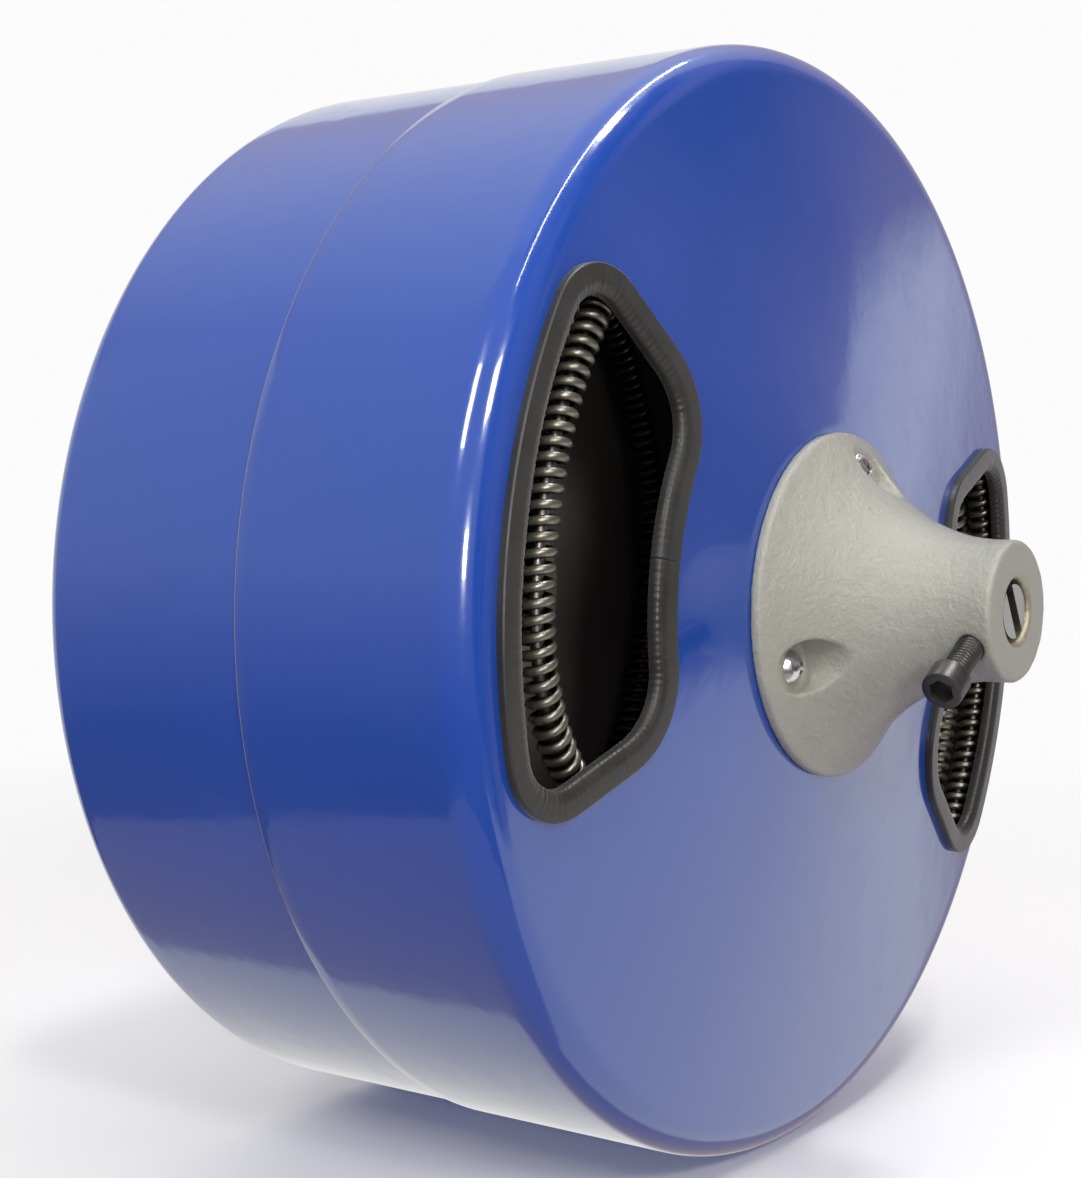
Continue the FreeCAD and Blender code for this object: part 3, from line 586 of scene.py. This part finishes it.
def front_profile():
    """Closed (radius, y) section of the front pan: seat, cone, rounded rim and skirt."""
    tilt = math.atan(CONE_SLOPE)
    centre = (DRUM_RADIUS - FRONT_CORNER,
              cone_y(DRUM_RADIUS - FRONT_CORNER) + FRONT_CORNER / math.cos(tilt))
    inner_corner = FRONT_CORNER - GAUGE
    outside = arc(centre, FRONT_CORNER, tilt - math.pi / 2, 0, 14)
    inside = arc(centre, inner_corner, 0, tilt - math.pi / 2, 14)
    lip = 0.35 * MM
    profile = line((CABLE_HOLE, SEAT), (HUB_RADIUS, SEAT), 4)
    profile += line((HUB_RADIUS, SEAT), outside[0], 34)
    profile += outside
    profile += line(outside[-1], (DRUM_RADIUS, SEAM - lip), 16)[1:]
    profile += [(DRUM_RADIUS, SEAM - lip), (DRUM_RADIUS - lip * 0.4, SEAM), (DRUM_RADIUS - GAUGE, SEAM)]
    profile += line((DRUM_RADIUS - GAUGE, SEAM), inside[0], 16)[1:]
    profile += inside
    back_seat = SEAT + GAUGE
    profile += line(inside[-1], (HUB_RADIUS, back_seat), 34)[1:]
    profile += line((HUB_RADIUS, back_seat), (CABLE_HOLE, back_seat), 4)
    profile += [(CABLE_HOLE, back_seat)]
    return profile


def paint_inside(item, is_inside):
    """Give the faces that look into the drum the black material in slot 1."""
    for polygon in item.data.polygons:
        if is_inside(polygon.center, polygon.normal):
            polygon.material_index = 1


def looks_inwards(place, normal):
    """Whether a face of a skirt looks at the drum's axis."""
    return normal.x * place.x + normal.z * place.z < -0.3 * math.hypot(place.x, place.z)


def front_shell():
    """Front pan with its two windows and three screw holes."""
    shell = lathed("front_pan", front_profile(), [ENAMEL, INNER_BLACK], 360, 50.0)
    cutters = []
    for name, angle in WINDOWS.items():
        outline = [on_drum(point, angle) for point in window_outline(TRIM_LAP, 2.0 * MM)]
        cutters.append(prism("cut_" + name, outline, SEAT - 20 * MM, SEAT + 40 * MM))
    for index, angle in enumerate(HUB_SCREW_ANGLES):
        cutters.append(hole_prism(f"cut_hole_{index}", HUB_SCREW_HOLE, HUB_SCREW_CIRCLE, angle,
                                  SEAT - 10 * MM, SEAT + 10 * MM))
    subtract(shell, cutters)
    paint_inside(shell, lambda place, normal: normal.y > 0.3 or looks_inwards(place, normal))
    return finished(shell, "drum", "drum_enamel", "front_shell")


def rear_shell():
    """Rear pan: its skirt slips inside the front one and its wall carries the rear hub."""
    outside = DRUM_RADIUS - GAUGE
    centre = (outside - REAR_CORNER, REAR_FACE - REAR_CORNER)
    outer = arc(centre, REAR_CORNER, 0, math.pi / 2, 10)
    inner = arc(centre, REAR_CORNER - GAUGE, math.pi / 2, 0, 10)
    start = SEAM - PAN_OVERLAP
    profile = line((outside, start), outer[0], 18)
    profile += outer
    profile += line(outer[-1], (BARREL_HOLE, REAR_FACE), 24)[1:]
    profile += [(BARREL_HOLE, REAR_FACE)]
    profile += line((BARREL_HOLE, REAR_FACE - GAUGE), inner[0], 24)
    profile += inner
    profile += line(inner[-1], (outside - GAUGE, start), 18)[1:]
    profile += [(outside - GAUGE, start)]
    shell = lathed("rear_pan", profile, [ENAMEL, INNER_BLACK], 360, 50.0)
    paint_inside(shell, lambda place, normal: normal.y < -0.3 or looks_inwards(place, normal))
    return finished(shell, "drum", "drum_enamel", "rear_shell")


# ---------------- rubber edging

def rounded_polygon(corners, steps=5):
    """Close a profile through (e, n, radius) corners with a round at each one."""
    points = []
    count = len(corners)
    for index, (x, y, radius) in enumerate(corners):
        here = Vector((x, y))
        before = Vector(corners[index - 1][:2]) - here
        after = Vector(corners[(index + 1) % count][:2]) - here
        half = before.angle(after) / 2
        trim = min(radius / math.tan(half), before.length * 0.48, after.length * 0.48)
        first = here + before.normalized() * trim
        last = here + after.normalized() * trim
        for step in range(steps + 1):
            share = step / steps
            middle = first.lerp(here, share).lerp(here.lerp(last, share), share)
            points.append((middle.x, middle.y))
    return points


def trim_profile():
    """Section of the edging: e runs outwards over the sheet, n stands off the sheet's middle."""
    half = GAUGE / 2 / MM
    front = half + TRIM_PROUD / MM
    back = -half - TRIM_INSIDE / MM
    lap = TRIM_LAP / MM
    web = -TRIM_WEB / MM
    corners = [(lap, half, 0.1), (lap, front - 0.55, 0.3), (lap - 0.55, front, 0.3), (1.2, front, 5.0),
               (web + 0.1, front - 1.7, 3.0), (web, back + 0.8, 1.2), (web + 1.2, back, 1.2),
               (lap - 1.5, back, 0.6), (lap - 1.5, -half, 0.1), (0.0, -half, 0.1), (0.0, half, 0.1)]
    return rounded_polygon([(e * MM, n * MM, radius * MM) for e, n, radius in corners])


def window_trim(side):
    """Edging pushed on round one window; its ends meet in the middle of the inner arc."""
    angle = WINDOWS[side]
    step = 0.62 * MM
    path = evenly_spaced(window_outline(TRIM_LAP, 0.5 * MM), step)
    count = len(path)
    profile = trim_profile()
    rib_pitch = 2.3 * MM
    vertices = []
    gap = 0.35
    for index in range(count + 1):
        turn = index % count
        share = index + (gap if index == 0 else -gap if index == count else 0)
        here = Vector(path[turn])
        following = Vector(path[(turn + 1) % count])
        before = Vector(path[turn - 1])
        tangent = (following - before).normalized()
        here = here + tangent * (share - index) * step
        outward = Vector((tangent.y, -tangent.x))
        x, z = on_drum(here, angle)
        out_x, out_z = on_drum(outward, angle)
        radius = math.hypot(x, z)
        base = Vector((x, cone_y(radius) + GAUGE / 2, z))
        radial = Vector((x / radius, 0, z / radius))
        normal = (radial * CONE_SLOPE - Vector((0, 1, 0))).normalized()
        spread = Vector((out_x, 0, out_z))
        spread.y = CONE_SLOPE * spread.dot(radial)
        spread.normalize()
        wobble = noise.noise(base * 45) * 0.25 * MM
        rib = 0.07 * MM * math.sin(math.tau * index * step / rib_pitch)
        rib += 0.13 * MM * noise.noise(Vector((index * 0.9, 3.0, angle)))
        for e, n in profile:
            on_roll = min(1.0, max(0.0, (3.5 * MM - e) / (3 * MM)))
            lift = rib * on_roll if n > GAUGE else 0.0
            inward = rib + wobble if e < -0.5 * MM else 0.0
            vertices.append(base + spread * (e - inward) + normal * (n + lift))
    item = mesh_object(f"edging_{side}", vertices, tube_faces(count, len(profile)), [RUBBER], 50.0)
    fix_normals(item)
    shade(item.data, 50.0)
    return finished(item, "drum", "edging_rubber", f"window_trim_{side}")


# ---------------- cable

def coil_point(radius, y, degrees):
    """A point of the winding; the whole coil sits a little off centre."""
    angle = math.radians(degrees)
    reach = radius + COIL_SHIFT * math.sin(angle) * radius / COIL_INNER
    return polar(reach, y, angle)


def stage_points(start, sweep, first_radius, last_radius, first_y, last_y, step=4.0):
    """Centre-line points of one stage of the winding, towards smaller angles, in degrees."""
    count = int(sweep / step)
    points = []
    for index in range(count + 1):
        share = index / count
        ease = share if first_radius == last_radius else share * share * (3 - 2 * share)
        points.append(coil_point(first_radius + (last_radius - first_radius) * ease,
                                 first_y + (last_y - first_y) * ease, start - sweep * share))
    return points


def coil_runs():
    """Centre lines of the three layers, and the angle in degrees where the last one ends."""
    middle = COIL_INNER + COIL_SPACING
    outer = middle + COIL_SPACING
    back = COIL_FRONT + COIL_PITCH * COIL_TURNS
    wall = REAR_FACE - GAUGE - CABLE_RADIUS - 0.2 * MM
    layer = 360.0 * COIL_TURNS
    first_front = COIL_FRONT + 2 * FRONT_STEP
    next_front = COIL_FRONT + FRONT_STEP
    stages = [
        ("outer", HELD_TURN, ANCHOR_CIRCLE, ANCHOR_CIRCLE, wall, wall),
        ("outer", TAIL_TURN, ANCHOR_CIRCLE, outer, wall, back),
        ("outer", layer, outer, outer, back, first_front),
        ("middle", CROSS_TURN, outer, middle, first_front, next_front),
        ("middle", layer, middle, middle, next_front, back),
        ("inner", CROSS_TURN, middle, COIL_INNER, back, back),
        ("inner", layer, COIL_INNER, COIL_INNER, back, COIL_FRONT)]
    runs = {}
    angle = ANCHOR_ANGLE + HELD_TURN / 2
    for name, sweep, *places in stages:
        points = stage_points(angle, sweep, *places)
        run = runs.setdefault(name, [])
        run += points[1:] if run else points
        angle -= sweep
    return runs, angle


def arc_points(start, control, end, steps):
    """Points of the arc whose end tangents meet at the control point, without the last one."""
    lean = (end - start).length / (2 * (control - start).length)
    points = []
    for step in range(steps):
        t = step / steps
        weights = ((1 - t) ** 2, 2 * t * (1 - t) * lean, t * t)
        points.append((start * weights[0] + control * weights[1] + end * weights[2]) / sum(weights))
    return points


def two_arcs(start, start_heading, end, end_heading, steps):
    """Two circular arcs that join two points and leave them along the given directions."""
    chord = end - start
    spread = 2 * (1 - start_heading.dot(end_heading))
    ahead = chord.dot(start_heading + end_heading)
    reach = (math.sqrt(ahead * ahead + spread * chord.dot(chord)) - ahead) / spread
    first_control = start + start_heading * reach
    last_control = end - end_heading * reach
    joint = (first_control + last_control) / 2
    return arc_points(start, first_control, joint, steps) + arc_points(joint, last_control, end, steps)


def bend_points(end_angle):
    """Centre line from the end of the inner layer in to the drum's axis, ending forwards."""
    stations = [coil_point(COIL_INNER, COIL_FRONT, end_angle)]
    drop = BEND_TURN_Y - COIL_FRONT
    for turn, share, dropped in ((22, 0.953, 0), (48, 0.75, 0.08), (90, 0.5, 0.5), (132, 0.28, 1)):
        stations.append(coil_point(COIL_INNER * share, COIL_FRONT + drop * dropped, end_angle - turn))
    stations.append(Vector((0, LEAD_BACK, 0)))
    before = coil_point(COIL_INNER, COIL_FRONT + COIL_PITCH / 360, end_angle + 1)
    headings = [(stations[0] - before).normalized()]
    headings += [(later - earlier).normalized() for earlier, later in zip(stations, stations[2:])]
    headings.append(Vector((0, -1, 0)))
    points = []
    for index in range(len(stations) - 1):
        points += two_arcs(stations[index], headings[index], stations[index + 1], headings[index + 1], 10)
    return points + [stations[-1]]


class Track:
    """A centre line with even arc-length look-up and a frame that doesn't twist."""

    def __init__(self, points):
        self.points = points
        self.lengths = [0.0]
        for first, second in zip(points, points[1:]):
            self.lengths.append(self.lengths[-1] + (second - first).length)
        self.total = self.lengths[-1]
        tangents = []
        for index in range(len(points)):
            before = points[max(index - 1, 0)]
            after = points[min(index + 1, len(points) - 1)]
            tangents.append((after - before).normalized())
        side = tangents[0].cross(Vector((0, 1, 0)))
        if side.length < 0.1:
            side = Vector((1, 0, 0))
        self.frames = []
        for tangent in tangents:
            side = (side - tangent * side.dot(tangent)).normalized()
            self.frames.append((tangent, side, tangent.cross(side)))
        self.index = 0

    def at(self, length):
        """Place and frame at a length along the line; lengths must not decrease between calls."""
        while self.index < len(self.points) - 2 and self.lengths[self.index + 1] < length:
            self.index += 1
        i = self.index
        share = (length - self.lengths[i]) / max(self.lengths[i + 1] - self.lengths[i], 1e-9)
        place = self.points[i].lerp(self.points[i + 1], share)
        axes = [a.lerp(b, share) for a, b in zip(self.frames[i], self.frames[i + 1])]
        return place, axes


def wound_wire(name, points, around=14, sides=7, phase=0.0):
    """Spring wire wound openly round the centre line."""
    track = Track(points)
    wind = CABLE_RADIUS - WIRE_RADIUS
    turns = track.total / WIRE_PITCH
    count = int(turns * around)
    vertices = []
    outward = []
    advance = WIRE_PITCH / (math.tau * wind)
    for index in range(count + 1):
        share = index / around
        place, (tangent, side, up) = track.at(min(share * WIRE_PITCH, track.total))
        angle = math.tau * share + phase
        radial = side * math.cos(angle) + up * math.sin(angle)
        travel = up * math.cos(angle) - side * math.sin(angle)
        along = (travel + tangent * advance).normalized()
        across = radial.cross(along)
        centre = place + radial * wind
        for number in range(sides):
            turn = math.tau * number / sides
            vertices.append(centre + (radial * math.cos(turn) + across * math.sin(turn)) * WIRE_RADIUS)
            outward.append(math.cos(turn))
    item = mesh_object(name, vertices, tube_faces(count, sides), [WIRE], 80.0)
    # outward: how far each point faces out of the cable; the wire material paints the inward side near
    # black as painted shade
    attribute = item.data.attributes.new("outward", "FLOAT", "POINT")
    attribute.data.foreach_set("value", outward)
    return item


def wire_rope(name, points, step=2.4 * MM, sides=12):
    """Twisted wire-rope core: six lobes that turn along the centre line."""
    track = Track(points)
    count = int(track.total / step)
    vertices = []
    for index in range(count + 1):
        length = track.total * index / count
        place, (_, side, up) = track.at(length)
        for number in range(sides):
            angle = math.tau * number / sides
            lobe = abs(math.cos(CORE_STRANDS / 2 * (angle - math.tau * length / CORE_LAY)))
            reach = CORE_RADIUS * (0.82 + 0.18 * lobe)
            vertices.append(place + (side * math.cos(angle) + up * math.sin(angle)) * reach)
    return mesh_object(name, vertices, tube_faces(count, sides), [CORE], 80.0)


def cable_layers(runs):
    """Wire and rope of each layer; the inner one, which shows most, has the finest wire."""
    looks = {"outer": (10, 5, 1), "middle": (10, 5, 1), "inner": (14, 7, 2)}
    for name, points in runs.items():
        around, sides, pieces = looks[name]
        length = (len(points) - 1) // pieces
        stands_for = ["cable_layer_" + name]
        for number in range(pieces):
            last = len(points) if number == pieces - 1 else (number + 1) * length + 1
            part = points[number * length:last]
            wire = wound_wire(f"cable_wire_{name}_{number + 1}", part, around, sides)
            finished(wire, "drum", "cable_steel", *stands_for)
            stands_for = []
        finished(wire_rope(f"cable_rope_{name}", points, 7 * MM), "drum", "core_steel")


def cable_bend(end_angle):
    """The bend in two pieces: one rides with the drum, the other is not attached to any body."""
    bend = bend_points(end_angle)
    split = max(i for i, point in enumerate(bend) if point.z < BEND_SPLIT_Z)
    outer_bend, inner_bend = bend[:split + 1], bend[split:]
    finished(wound_wire("cable_bend_outer", outer_bend), "drum", "cable_steel", "cable_bend")
    finished(wire_rope("cable_bend_outer_rope", outer_bend), "drum", "core_steel")
    for name, make, slot in (("cable_bend_inner", wound_wire, "cable_steel"),
                             ("cable_bend_inner_rope", wire_rope, "core_steel")):
        item = make(name, inner_bend)
        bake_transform(item)


def cable():
    runs, end_angle = coil_runs()
    cable_layers(runs)
    cable_bend(end_angle)
    lead_low, lead_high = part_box("cable_lead")
    lead = [Vector((0, lead_high.y + (lead_low.y - lead_high.y) * i / 20, 0)) for i in range(21)]
    finished(wound_wire("cable_lead_wire", lead), "cable_end", "cable_steel", "cable_lead")
    finished(wire_rope("cable_lead_rope", lead), "cable_end", "core_steel", "cable_core")


# ---------------- castings

def cast_copy(name, node, voxel, relax, body, slot):
    """A casting: the CAD shape remeshed, its edges softened and its skin made uneven."""
    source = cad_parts[node]
    item = bpy.data.objects.new(name, source.data.copy())
    bpy.context.scene.collection.objects.link(item)
    item.data.materials.clear()
    item.data.materials.append(CAST_PAINT)
    remesh = item.modifiers.new("remesh", "REMESH")
    remesh.mode = "VOXEL"
    remesh.voxel_size = voxel
    soften = item.modifiers.new("soften", "SMOOTH")
    soften.iterations = relax
    soften.factor = 0.5
    applied(item, 80.0)
    item.data.materials.clear()
    item.data.materials.append(CAST_PAINT)
    skin = [(vertex.co.copy(), vertex.normal.copy()) for vertex in item.data.vertices]
    places = []
    for place, normal in skin:
        lump = noise.noise(place * 160) * 0.10 * MM + noise.noise(place * 420) * 0.05 * MM
        places.extend(place + normal * lump)
    item.data.vertices.foreach_set("co", places)
    item.data.update()
    shade(item.data, 80.0)
    return finished(item, body, slot, node)


# ---------------- screws

def screw_thread(radius, depth, pitch, low, high, around=40, rows=8):
    """Vertices and faces of a threaded rod along Z."""
    count = int((high - low) / pitch * rows)
    vertices = []
    for row in range(count + 1):
        z = low + (high - low) * row / count
        fade = min(1.0, (z - low) / pitch, (high - z) / pitch)
        for number in range(around):
            angle = math.tau * number / around
            wave = (z / pitch - number / around) % 1.0
            groove = abs(2 * wave - 1)
            cut = depth * fade * min(1.0, max(0.0, groove * 1.3 - 0.15))
            reach = radius - cut - 0.5 * depth * (1 - fade)
            vertices.append(Vector((reach * math.cos(angle), reach * math.sin(angle), z)))
    return vertices, tube_faces(count, around)


def turned_z(profile, segments):
    """Vertices and faces of a closed turned shape along Z from an open (radius, z) profile."""
    vertices = []
    faces = []
    count = len(profile)
    for segment in range(segments):
        angle = math.tau * segment / segments
        vertices += [Vector((r * math.cos(angle), r * math.sin(angle), z)) for r, z in profile]
    for segment in range(segments):
        here = segment * count
        there = (segment + 1) % segments * count
        faces += [(here + i, there + i, there + i + 1, here + i + 1) for i in range(count - 1)]
    faces.append(tuple(segment * count for segment in range(segments - 1, -1, -1)))
    faces.append(tuple(segment * count + count - 1 for segment in range(segments)))
    return vertices, faces


def clamp_screw():
    """Socket-head cap screw: knurled head, hexagon socket and a real helical thread."""
    low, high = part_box("clamp_screw")
    y = (low.y + high.y) / 2
    head_radius = (high.y - low.y) / 2
    vertices, faces = screw_thread(CLAMP_THREAD_RADIUS, CLAMP_THREAD_DEPTH, CLAMP_PITCH,
                                   CLAMP_TIP, CLAMP_HEAD_START - 0.1 * MM)
    rod = mesh_object("clamp_screw_thread", vertices, faces, [BLACK_STEEL], 50.0)
    edge = 0.7 * MM
    profile = [(head_radius - 0.5 * MM, CLAMP_HEAD_START), (head_radius, CLAMP_HEAD_START + 0.5 * MM),
               (head_radius, CLAMP_HEAD_TOP - edge * 1.3),
               (head_radius - edge * 0.3, CLAMP_HEAD_TOP - edge * 0.6),
               (head_radius - edge, CLAMP_HEAD_TOP - 0.15 * MM), (head_radius - edge * 1.5, CLAMP_HEAD_TOP)]
    vertices, faces = turned_z(profile, 96)
    knurl = 0.985
    for index, vertex in enumerate(vertices):
        on_side = CLAMP_HEAD_START + 0.4 * MM < vertex.z < CLAMP_HEAD_TOP - edge
        if on_side and (index // len(profile)) % 2:
            vertex.x *= knurl
            vertex.y *= knurl
    head = mesh_object("clamp_screw_head", vertices, faces, [BLACK_STEEL], 40.0)
    fix_normals(head)
    corners = [math.pi / 3 * index for index in range(6)]
    socket = mesh_object("socket", [(CLAMP_SOCKET_RADIUS * math.cos(corner),
                                     CLAMP_SOCKET_RADIUS * math.sin(corner), z)
                                    for z in (CLAMP_HEAD_TOP - CLAMP_SOCKET_DEPTH, CLAMP_HEAD_TOP + 2 * MM)
                                    for corner in corners], tube_faces(1, 6), [])
    subtract(head, [socket])
    turn = Matrix.Translation((0, y, 0)) @ Matrix.Rotation(CLAMP_ANGLE, 4, "Y")
    for item in (rod, head):
        item.data.transform(turn)
        shade(item.data, 40.0)
    finished(rod, "clamp_screw", "black_steel", "clamp_screw")
    finished(head, "clamp_screw", "black_steel")


def hub_screws():
    """Zinc pan-head screws with a crossed recess, one in each pocket of the hub."""
    low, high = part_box("hub_screws")
    head_top = low.y
    dome, reach = 4.2 * MM, 6.1 * MM
    sphere = (reach * reach + dome * dome) / (2 * dome)
    profile = [(0.05 * MM, 0.0)]
    for index in range(1, 15):
        radius = reach * index / 15
        profile.append((radius, sphere - math.sqrt(sphere * sphere - radius * radius)))
    profile += [(reach - 0.1 * MM, dome - 0.55 * MM), (reach, dome - 0.25 * MM), (reach - 0.2 * MM, dome),
                (HUB_SCREW_SHANK, dome), (HUB_SCREW_SHANK, high.y - low.y), (0.05 * MM, high.y - low.y)]
    for index, angle in enumerate(HUB_SCREW_ANGLES):
        vertices, faces = turned_z(profile, 56)
        screw = mesh_object(f"hub_screw_{index + 1}", vertices, faces, [ZINC], 40.0)
        fix_normals(screw)
        cutters = []
        for number in range(2):
            blade = mesh_object("blade", [], [], [])
            work = bmesh.new()
            bmesh.ops.create_cube(work, size=1.0)
            bmesh.ops.scale(work, vec=(6.6 * MM, 1.35 * MM, 4.4 * MM), verts=work.verts)
            tip = [vertex for vertex in work.verts if vertex.co.z > 0]
            bmesh.ops.scale(work, vec=(0.45, 0.8, 1.0), verts=tip)
            turn = Matrix.Rotation(math.pi / 2 * number + 0.6, 3, "Z")
            bmesh.ops.rotate(work, cent=(0, 0, 0), matrix=turn, verts=work.verts)
            work.to_mesh(blade.data)
            work.free()
            cutters.append(blade)
        subtract(screw, cutters)
        centre = polar(HUB_SCREW_CIRCLE, head_top, angle)
        place = Matrix.Translation(centre) @ Matrix.Rotation(angle, 4, "Y")
        screw.data.transform(place @ Matrix.Rotation(-math.pi / 2, 4, "X"))
        shade(screw.data, 40.0)
        finished(screw, "drum", "zinc_steel", *(["hub_screws"] if index == 0 else []))


# ---------------- CAD pieces that stay

def dress(nodes, material, bevel=None):
    """Give CAD nodes a material and, where asked, softened edges."""
    for name in nodes:
        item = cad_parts[name]
        item.data.materials.clear()
        item.data.materials.append(material)
        if bevel:
            modifier = item.modifiers.new("soft_edges", "BEVEL")
            modifier.width = bevel
            modifier.segments = 2
            modifier.limit_method = "ANGLE"
            modifier.angle_limit = math.radians(40)
            modifier.harden_normals = True
        item.data.polygons.foreach_set("use_smooth", [True] * len(item.data.polygons))
        item.data.set_sharp_from_angle(angle=math.radians(32))


def dress_frame():
    dress(["rear_hub"], CAST_PAINT, 0.6 * MM)
    dress(["rear_hub_bolts", "rear_hub_nuts", "hub_nuts", "anchor_bolts", "anchor_nuts"], ZINC, 0.35 * MM)
    dress(["rear_hub_washers", "hub_lock_washers", "cable_anchor_strap"], ZINC, 0.2 * MM)
    dress(["cable_connector"], FITTING_STEEL, 0.45 * MM)
    dress(["connector_screw", "bearing_retaining_rings"], BLACK_STEEL, 0.2 * MM)
    dress(["bearing_inner_rings", "bearing_outer_rings", "bearing_spacer"], GROUND_STEEL, 0.3 * MM)
    dress(["bearing_balls"], GROUND_STEEL)
    dress(["bearing_cages"], PRESSED_STEEL)
    dress(["bearing_seals"], RUBBER, 0.15 * MM)


# ---------------- stage, light and camera

def floor():
    bpy.ops.mesh.primitive_circle_add(vertices=96, radius=3.0, fill_type="NGON",
                                      location=(0, 0, cad_box[0][2] - 0.0005))
    item = bpy.context.object
    item.name = "floor"
    item.data.materials.append(floor_material())
    item.visible_glossy = False
    item.visible_diffuse = False


def soft_light(name, place, target, size, power, colour=(1, 1, 1)):
    data = bpy.data.lights.new(name, "AREA")
    data.shape = "RECTANGLE"
    data.size, data.size_y = size
    data.energy = power
    data.color = colour
    item = bpy.data.objects.new(name, data)
    item.location = place
    item.rotation_euler = (Vector(target) - Vector(place)).to_track_quat("-Z", "Y").to_euler()
    bpy.context.scene.collection.objects.link(item)
    return item


def surroundings():
    """Pale studio for the camera; the drum reflects a white sweep, a dim room and a brighter ceiling.

    To the right of the drum the room is dim and the sweep below it is bright. Behind the drum the
    sweep reaches higher. Low on the left lies a dim stretch.
    """
    world = bpy.data.worlds.new("studio")
    bpy.context.scene.world = world
    world.use_nodes = True
    tree = world.node_tree
    back = tree.nodes["Background"]
    place = add_node(tree, "ShaderNodeTexCoord").outputs["Generated"]
    parts = add_node(tree, "ShaderNodeSeparateXYZ")
    tree.links.new(place, parts.inputs[0])
    across, along, up = parts.outputs
    ragged = noise_factor(tree, place, 5.0, 5.0, 0.6)
    uneven = math_node(tree, "MULTIPLY", math_node(tree, "SUBTRACT", ragged, 0.5), 0.12)
    height = math_node(tree, "ADD", up, uneven)
    patchy = noise_factor(tree, place, 2.6, 3.0, 0.5)

    ceiling = remap(tree, up, 0.52, 0.85, 0.45, 0.85)
    behind = remap(tree, along, 0.35, 0.50, 0.0, 1.0)
    low_sweep = remap(tree, up, 0.52, 0.50, 0.0, 1.0)
    below = remap(tree, up, -0.20, -0.50, 0.0, 0.38)
    left = remap(tree, math_node(tree, "SUBTRACT", across, below), -0.34, -0.38, 0.0, 1.0)

    room = mix_values(tree, math_node(tree, "MULTIPLY", behind, low_sweep), ceiling, 0.82)

    tilted = math_node(tree, "SUBTRACT", height, along)
    limit = math_node(tree, "MAXIMUM", math_node(tree, "SUBTRACT", tilted, 0.36), height)
    bright_low = remap(tree, limit, 0.215, 0.165, 0.0, 1.0)
    dim_room = remap(tree, patchy, 0.40, 0.60, 0.10, 0.34)
    facing = remap(tree, along, -0.20, -0.26, 0.0, 1.0)
    right = mix_values(tree, facing, room, mix_values(tree, bright_low, dim_room, 1.0))

    upper_left = remap(tree, height, -0.34, 0.12, 0.16, 0.62)
    lower_left = remap(tree, height, -0.56, -0.54, 0.28, 0.0)
    brightness = mix_values(tree, left, right, math_node(tree, "ADD", upper_left, lower_left))

    dull = remap(tree, brightness, 0.35, 0.70, 1.0, 0.0)
    tint = mix_colours(tree, dull, (1.0, 1.0, 1.0, 1), (1.0, 0.80, 0.92, 1))
    seen = tree.nodes.new("ShaderNodeLightPath").outputs["Is Camera Ray"]
    tree.links.new(mix_colours(tree, seen, tint, (1.0, 1.0, 1.0, 1)), back.inputs["Color"])
    tree.links.new(mix_values(tree, seen, brightness, 0.97), back.inputs["Strength"])


def lights():
    soft_light("key", (-1.3, -2.0, 1.4), (0, -0.1, 0), (0.45, 0.45), 20)
    soft_light("strip", (0.1, -0.6, 2.0), (-0.1, -0.17, 0.1), (2.6, 0.08), 12)
    soft_light("side", (-2.1, -0.25, 1.5), (0, -0.1, 0.1), (0.4, 0.7), 18)
    soft_light("overhead", (0.25, -0.62, 1.6), (0, -0.2, 0), (0.22, 0.22), 7)
    soft_light("low_front", (-1.3, -1.25, 0.25), (0, -0.15, 0), (0.22, 0.22), 9)


def camera():
    """The view along azimuth -54.55 degrees from 3 degrees above the drum's axis."""
    azimuth = math.radians(-54.55)
    rise = math.radians(3.0)
    target = Vector((-0.1638, SEAT + 0.0159, 0.0122))
    back = Vector((math.sin(azimuth) * math.cos(rise), -math.cos(azimuth) * math.cos(rise), math.sin(rise)))
    data = bpy.data.cameras.new("camera")
    data.sensor_width = 36.0
    data.lens = 62.2
    data.clip_start = 0.01
    item = bpy.data.objects.new("camera", data)
    item.location = target + back * 0.6219
    item.rotation_euler = back.to_track_quat("Z", "Y").to_euler()
    bpy.context.scene.collection.objects.link(item)
    bpy.context.scene.camera = item


front_shell()
rear_shell()
window_trim("left")
window_trim("right")
cable()
cast_copy("hub_casting", "front_hub", 0.75 * MM, 6, "drum", "hub_paint")
clamp_screw()
hub_screws()
dress_frame()
floor()
surroundings()
lights()
camera()
bpy.context.scene.view_settings.view_transform = "Standard"
